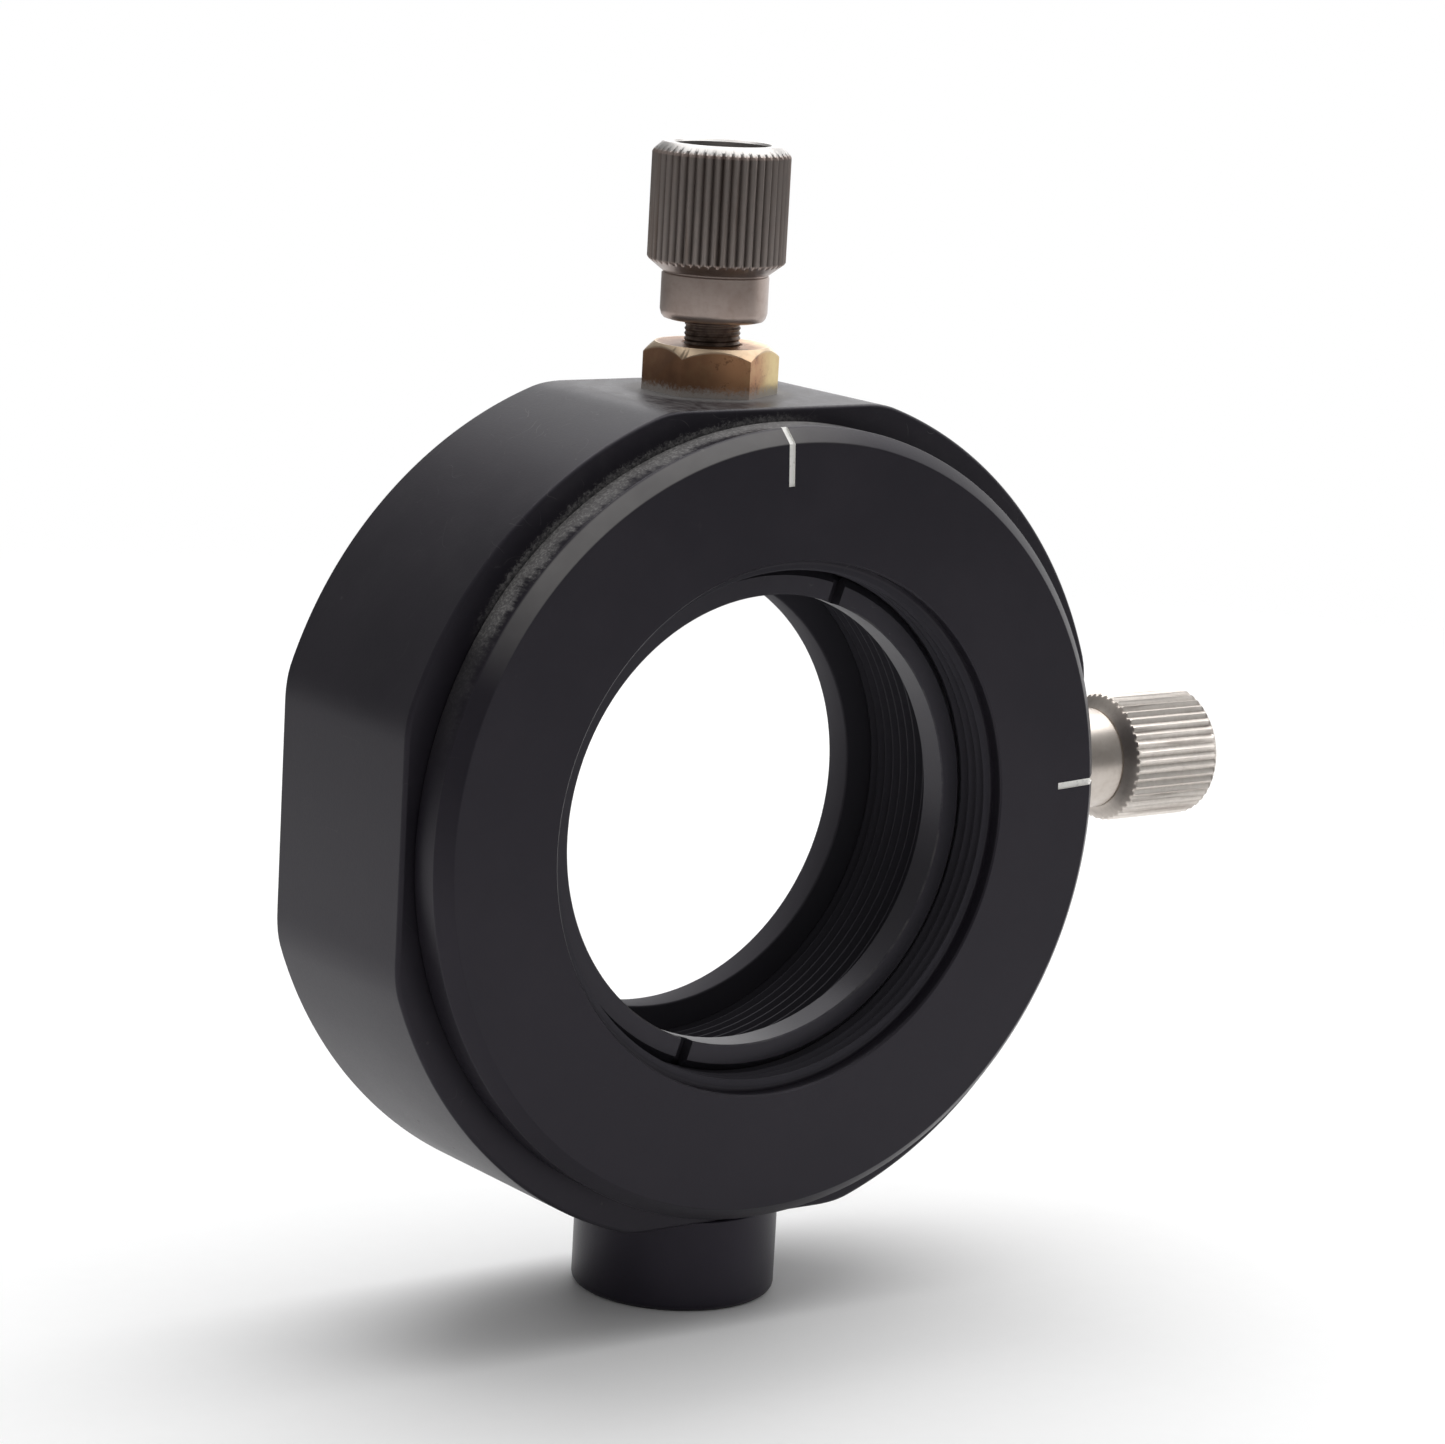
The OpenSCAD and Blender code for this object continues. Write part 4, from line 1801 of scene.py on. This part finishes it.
@dataclass
class Adjuster:
    """A knurled knob on a fine screw that runs in a brass bushing."""

    axis: Axis
    body: str
    knob_finish: Steel
    shank_radius: float = 2.0
    shank_tip: float = 16.314
    flat_reach: float = Housing.flat_reach
    hex_size: float = 5.9
    hex_top: float = 23.028
    hex_edge: float = 0.05
    bore_bevel: float = 0.12
    screw_thread: Thread = Thread(0.25, 1.34, 1.4)
    screw_tip: float = 15.37
    screw_end: float = 30.828
    ball_seat: float = 0.82
    ball_depth: float = 15.99
    socket_size: float = 1.5
    socket_depth: float = 1.2
    knob_base: float = 24.178
    collar_top: float = 26.578
    knob_top: float = 32.928
    knob_radius: float = 3.45
    knob_bevel: float = 0.5
    collar_radius: float = 2.68
    collar_bevel: float = 0.35
    cone_height: float = 0.6
    recess_radius: float = 2.35
    recess_depth: float = 3.0
    ridges: int = 45
    ridge_facets: int = 10
    ridge_shape: float = 1.3
    knurl_depth: float = 0.23
    knurl_least: float = 0.86

    @property
    def label(self) -> str:
        """The adjuster's name, as in its solids' names."""
        return self.axis.value

    def build_bushing(self) -> bpy.types.Object:
        """Builds the hexagonal bushing.

        Returns:
            The finished piece.
        """
        corner = self.hex_size / math.sqrt(3)
        bevel = corner - self.hex_size / 2 + 0.1
        bore, blank = self.screw_thread.crest + RELIEF, corner + RELIEF
        part = Workpiece(steps=192).turn(
            [
                (bore, self.shank_tip),
                (self.shank_radius, self.shank_tip),
                (self.shank_radius, self.flat_reach),
                (blank, self.flat_reach),
                (blank, self.hex_top - bevel),
                (corner - bevel, self.hex_top),
                (bore + self.bore_bevel, self.hex_top),
                (bore, self.hex_top - self.bore_bevel),
            ]
        )
        part.shave(self.hex_size / 2, range(0, 360, 60), edge=self.hex_edge)
        finish = Brass(
            foot=self.flat_reach,
            crown=self.hex_top - bevel + 0.8 * corner,
            # Painted light comes from this heading: that side of the hexagon is painted
            # bright, and the far side is painted in shade.
            painted_light_heading=-20.0,
        )
        return part.finish(
            f"{self.label}_bushing_hex",
            self.axis,
            [finish.material(f"aged_brass_{self.label}", self.axis)],
            body="frame",
            slot="bushing_brass",
            stands_for=f"{self.label}_bushing",
        )

    def build_screw(self) -> bpy.types.Object:
        """Builds the fine adjusting screw, with a ball seat and a hexagon socket.

        Returns:
            The finished piece.
        """
        socket = self.socket_size / math.sqrt(3)
        part = Workpiece(steps=48).turn(
            [
                (self.ball_seat, self.screw_tip),
                (self.ball_seat, self.ball_depth),
                (0.0, self.ball_depth),
            ],
            closed=False,
        )
        hole = Workpiece(steps=6)
        hole.rod(socket, self.screw_end - self.socket_depth, self.screw_end)
        hole.drop(lambda f: f.calc_center_median().z > self.screw_end - NEAR)
        part.take(hole.mesh)
        part.wind(self.screw_thread, self.screw_tip, self.screw_end, steps=48)
        part.cap(self.screw_tip)
        part.cap(self.screw_end)
        return part.finish(
            f"{self.label}_screw_threaded",
            self.axis,
            [OiledThread().material(f"oiled_thread_{self.label}", self.axis)],
            body=self.body,
            slot="screw_steel",
            stands_for=f"{self.label}_screw",
            crease=25.0,
            even=False,
        )

    def knurl(self, angle: float, depths: Sequence[float]) -> float:
        """Gives how far the knurl is cut in at one direction.

        Args:
            angle: The direction about the knob's axis, in radians.
            depths: The depth of each valley.

        Returns:
            The cut's depth.
        """
        nudge = 1e-6  # keeps a ridge's own corner on one side of it
        phase = (angle % math.tau) / math.tau * self.ridges + nudge
        valley = int(phase) % self.ridges
        slope = 1 - abs(phase - int(phase) - 0.5) / 0.5
        return depths[valley] * max(0.0, slope) ** self.ridge_shape

    def build_knob(self) -> bpy.types.Object:
        """Builds the knurled knob.

        Returns:
            The finished piece.
        """
        r, collar = self.knob_radius, self.collar_radius
        root = r - self.knurl_depth
        bore = self.screw_thread.crest + FIT
        cone_top = self.collar_top + self.cone_height
        slope = self.cone_height / (r - collar)
        floor = self.knob_top - self.recess_depth
        profile = [
            # The collar, rounded at its foot
            (bore, self.knob_base),
            (collar - self.collar_bevel - 0.1, self.knob_base),
            (collar - self.collar_bevel * 0.55, self.knob_base + 0.07),
            (collar - self.collar_bevel * 0.2, self.knob_base + 0.22),
            (collar, self.knob_base + 0.48),
            # The groove under the cone
            (collar, self.collar_top - 0.13),
            (collar - 0.03, self.collar_top - 0.09),
            (collar - 0.08, self.collar_top - 0.07),
            (collar - 0.08, self.collar_top),
            (collar + 0.01, self.collar_top + 0.01),
            # The cone and the grip
            (root - 0.05, cone_top - slope * (r - root + 0.05)),
            (root, cone_top - slope * (r - root)),
            (r - 0.08, cone_top - slope * 0.08),
            (r, cone_top + 0.05),
            (r, (cone_top + self.knob_top) / 2),
            # The bevel round the top
            (r, self.knob_top - self.knob_bevel - 0.05),
            (r - 0.08, self.knob_top - self.knob_bevel + 0.08),
            (root, self.knob_top - self.knob_bevel + r - root),
            (r - self.knob_bevel + 0.06, self.knob_top - 0.06),
            (r - self.knob_bevel - 0.04, self.knob_top),
            # The recess in the top
            (self.recess_radius + 0.1, self.knob_top),
            (self.recess_radius, self.knob_top - 0.1),
            (self.recess_radius, floor + 0.1),
            (self.recess_radius - 0.1, floor),
            (bore, floor),
        ]
        part = Workpiece(steps=self.ridges * self.ridge_facets).turn(profile)
        chance = random.Random(self.label)
        depths = [
            self.knurl_depth * chance.uniform(self.knurl_least, 1.0)
            for _ in range(self.ridges)
        ]
        for vert in part.mesh.verts:
            reach = vert.co.xy.length
            if reach > collar + 0.01 and vert.co.z > self.collar_top:
                angle = math.atan2(vert.co.y, vert.co.x)
                allowed = r - self.knurl(angle, depths)
                if reach > allowed:
                    vert.co.xy *= allowed / reach
        grip = Knurl(
            ridge=r - 0.05,
            valley=root + 0.02,
            low=cone_top - 0.1,
            high=self.knob_top - self.knob_bevel,
        )
        finish = replace(self.knob_finish, groove=grip)
        return part.finish(
            f"{self.label}_knob_knurled",
            self.axis,
            [finish.material(f"knurled_steel_{self.label}", self.axis)],
            body=self.body,
            slot="knob_steel",
            stands_for=f"{self.label}_knob",
            crease=28.0,
        )

    def build(self) -> None:
        """Builds and reports each piece of the adjuster."""
        self.build_bushing()
        self.build_screw()
        self.build_knob()


# ---------------------------------------------------------------- inner parts


@dataclass
class InnerParts:
    """The solids inside the housing, which all get a finish.

    They keep their shape; the two return springs are remade as merged, smooth-shaded
    copies of their solids.
    """

    nodes: Mapping[str, bpy.types.Object]
    spring_foot: float = 18.84
    spring_tip: float = 15.11

    def dress(self, node: str, material: bpy.types.Material) -> None:
        """Puts a material on one solid.

        Args:
            node: The solid's name.
            material: Its material.
        """
        item = self.nodes[node]
        for slot in item.material_slots:
            slot.material = material
        log.info("%s: %s", node, material.name)

    def stretch_spring(
        self, axis: Axis, steel: bpy.types.Material
    ) -> None:
        """Remakes a return spring as a merged, smooth-shaded copy of its solid.

        Args:
            axis: The spring's line.
            steel: Its material.
        """
        name = axis.value
        solid = self.nodes[f"{name}_spring"]
        coil = bmesh.new()
        coil.from_mesh(solid.data)
        bmesh.ops.transform(coil, matrix=solid.matrix_world, verts=coil.verts[:])
        bmesh.ops.remove_doubles(coil, verts=coil.verts[:], dist=NEAR * MM)
        for face in coil.faces:
            face.smooth = True
        data = bpy.data.meshes.new(f"{name}_return_coil")
        coil.to_mesh(data)
        coil.free()
        data.materials.append(steel)
        piece = show(data.name, data)
        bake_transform(piece)
        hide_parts(f"{name}_spring")
        log.info("%s: %s", piece.name, steel.name)

    def build(self) -> None:
        """Gives every inner solid its finish, and reports it."""
        keeper = Steel(bright=(0.42, 0.42, 0.42), dull=(0.3, 0.29, 0.28), stain=0.3)
        spring = Steel(
            bright=(0.6, 0.6, 0.6), dull=(0.42, 0.41, 0.4), polish=0.22, stain=0.25
        )
        hard = Steel(
            bright=(0.66, 0.66, 0.67), dull=(0.5, 0.5, 0.5), polish=0.14, stain=0.15
        )
        clean = Brass(age=0.35, polish=0.26)
        self.dress("keeper_ring", keeper.material("keeper_steel", Axis.OPTIC))
        self.dress("wave_spring", spring.material("wave_spring_steel", Axis.OPTIC))
        self.dress("guide_ring", clean.material("bare_guide_brass", Axis.OPTIC))
        for axis, body in ((Axis.BOTTOM, "top_tip"), (Axis.LEFT, "left_push")):
            name = axis.value
            self.stretch_spring(
                axis, spring.material(f"{name}_spring_wire", axis)
            )
            self.dress(f"{name}_plunger", clean.material(f"{name}_plunger_brass", axis))
        for axis in (Axis.TOP, Axis.SIDE):
            name = axis.value
            self.dress(f"{name}_ball", hard.material(f"{name}_ball_steel", axis))
            self.dress(f"{name}_pad", hard.material(f"{name}_pad_steel", axis))


# ---------------------------------------------------------------- studio


@dataclass
class SoftBox:
    """A rectangular studio light."""

    name: str
    place: tuple[float, float, float]
    size: tuple[float, float]
    radiance: float

    def build(self, target: Vector) -> None:
        """Hangs the light, out of the camera's sight.

        Args:
            target: The point that it faces, in metres.
        """
        data = bpy.data.lights.new(self.name, "AREA")
        data.shape = "RECTANGLE"
        data.size, data.size_y = self.size
        data.energy = self.radiance * math.pi * self.size[0] * self.size[1]
        item = show(self.name, data)
        item.location = self.place
        aim = target - Vector(self.place)
        item.rotation_euler = aim.to_track_quat("-Z", "Y").to_euler()
        item.visible_camera = False


@dataclass
class Room:
    """The light that comes from all round: a dim horizon under a paler ceiling."""

    horizon: float = 0.26
    ceiling: float = 0.2
    window: float = 0.9
    window_side: tuple[float, float, float] = (0.92, 0.36, 0.06)
    backdrop: float = 1.0

    def build(self) -> None:
        """Sets the room's light. The camera itself sees an even white backdrop."""
        world = bpy.data.worlds.new("room")
        bpy.context.scene.world = world
        world.use_nodes = True
        sheet = Sheet(world.node_tree)
        ways = sheet.node("ShaderNodeTexCoord")
        x, y, z = sheet.split(ways.outputs["Generated"])
        side = Vector(self.window_side).normalized()
        facing = x * side.x + y * side.y + z * side.z
        glow = (
            self.horizon
            + z.ramp(0.25, 0.9) * self.ceiling
            + facing.ramp(0.55, 0.9) * self.window
        )
        light = sheet.node("ShaderNodeBackground", None, {1: glow})
        plain = sheet.node("ShaderNodeBackground", None, {1: self.backdrop})
        for lamp in (light, plain):
            lamp.inputs[0].default_value = (1.0, 1.0, 1.0, 1.0)
        path = sheet.node("ShaderNodeLightPath")
        both = sheet.node(
            "ShaderNodeMixShader",
            None,
            {
                0: path.outputs["Is Camera Ray"],
                1: light.outputs[0],
                2: plain.outputs[0],
            },
        )
        sheet.node("ShaderNodeOutputWorld", None, {0: both.outputs[0]})


@dataclass
class Studio:
    """The floor, the lights and the camera."""

    camera_place: tuple[float, float, float] = (-0.1337, -0.18701, 0.07509)
    camera_turn: tuple[float, float, float] = (78.75155, -3.122, -35.19592)
    lens: float = 116.04
    sensor: float = 36.0
    clip: tuple[float, float] = (0.01, 30.0)
    aim: tuple[float, float, float] = (0.0, 0.0, 0.025)
    floor_radius: float = 0.26
    floor_sides: int = 96
    room: Room = field(default_factory=Room)
    boxes: tuple[SoftBox, ...] = (
        SoftBox("overhead", (0.14, 0.13, 0.52), (0.72, 0.56), 2.4),
        SoftBox("window", (0.5, 0.62, 0.27), (0.5, 0.46), 0.9),
    )

    def build_floor(self) -> None:
        """Lays the pale floor."""
        mesh = bmesh.new()
        bmesh.ops.create_circle(
            mesh, cap_ends=True, segments=self.floor_sides, radius=self.floor_radius
        )
        data = bpy.data.meshes.new("floor")
        mesh.to_mesh(data)
        mesh.free()
        data.materials.append(StudioPaper().material("white_paper"))
        floor = show("floor", data)

    def build_camera(self) -> None:
        """Places the camera."""
        data = bpy.data.cameras.new("camera")
        data.lens = self.lens
        data.sensor_width = self.sensor
        data.sensor_fit = "HORIZONTAL"
        data.clip_start, data.clip_end = self.clip
        item = show("camera", data)
        item.location = self.camera_place
        item.rotation_euler = Euler([math.radians(a) for a in self.camera_turn], "XYZ")
        bpy.context.scene.camera = item

    def build(self) -> None:
        """Builds the studio and reports it."""
        self.build_floor()
        self.room.build()
        for box in self.boxes:
            box.build(Vector(self.aim))
        self.build_camera()
        bpy.context.scene.view_settings.view_transform = "Standard"
        log.info("studio: %d soft boxes", len(self.boxes))


def main() -> None:
    """Builds every piece."""
    Studio().build()
    Housing().build()
    LensCell().build()
    browned = Steel(
        bright=(0.42, 0.345, 0.31),
        dull=(0.29, 0.22, 0.19),
        polish=0.34,
        soot=0.5,
        painted_cone_shade=0.35,
        grip=(0.25, 0.222, 0.208),
    )
    clean = Steel(
        bright=(0.58, 0.53, 0.485),
        dull=(0.44, 0.385, 0.34),
        polish=0.32,
        soot=0.2,
        painted_cone_shade=0.28,
        grip=(0.84, 0.79, 0.74),
        edge=(0.72, 0.69, 0.65),
    )
    Adjuster(Axis.TOP, "top_adjuster", browned).build()
    Adjuster(
        Axis.SIDE, "side_adjuster", clean, ridge_shape=0.75, knurl_depth=0.18
    ).build()
    InnerParts(frame["nodes"]).build()


if __name__ == "__main__":
    logging.basicConfig(level=logging.INFO, format="%(name)s: %(message)s")
    main()
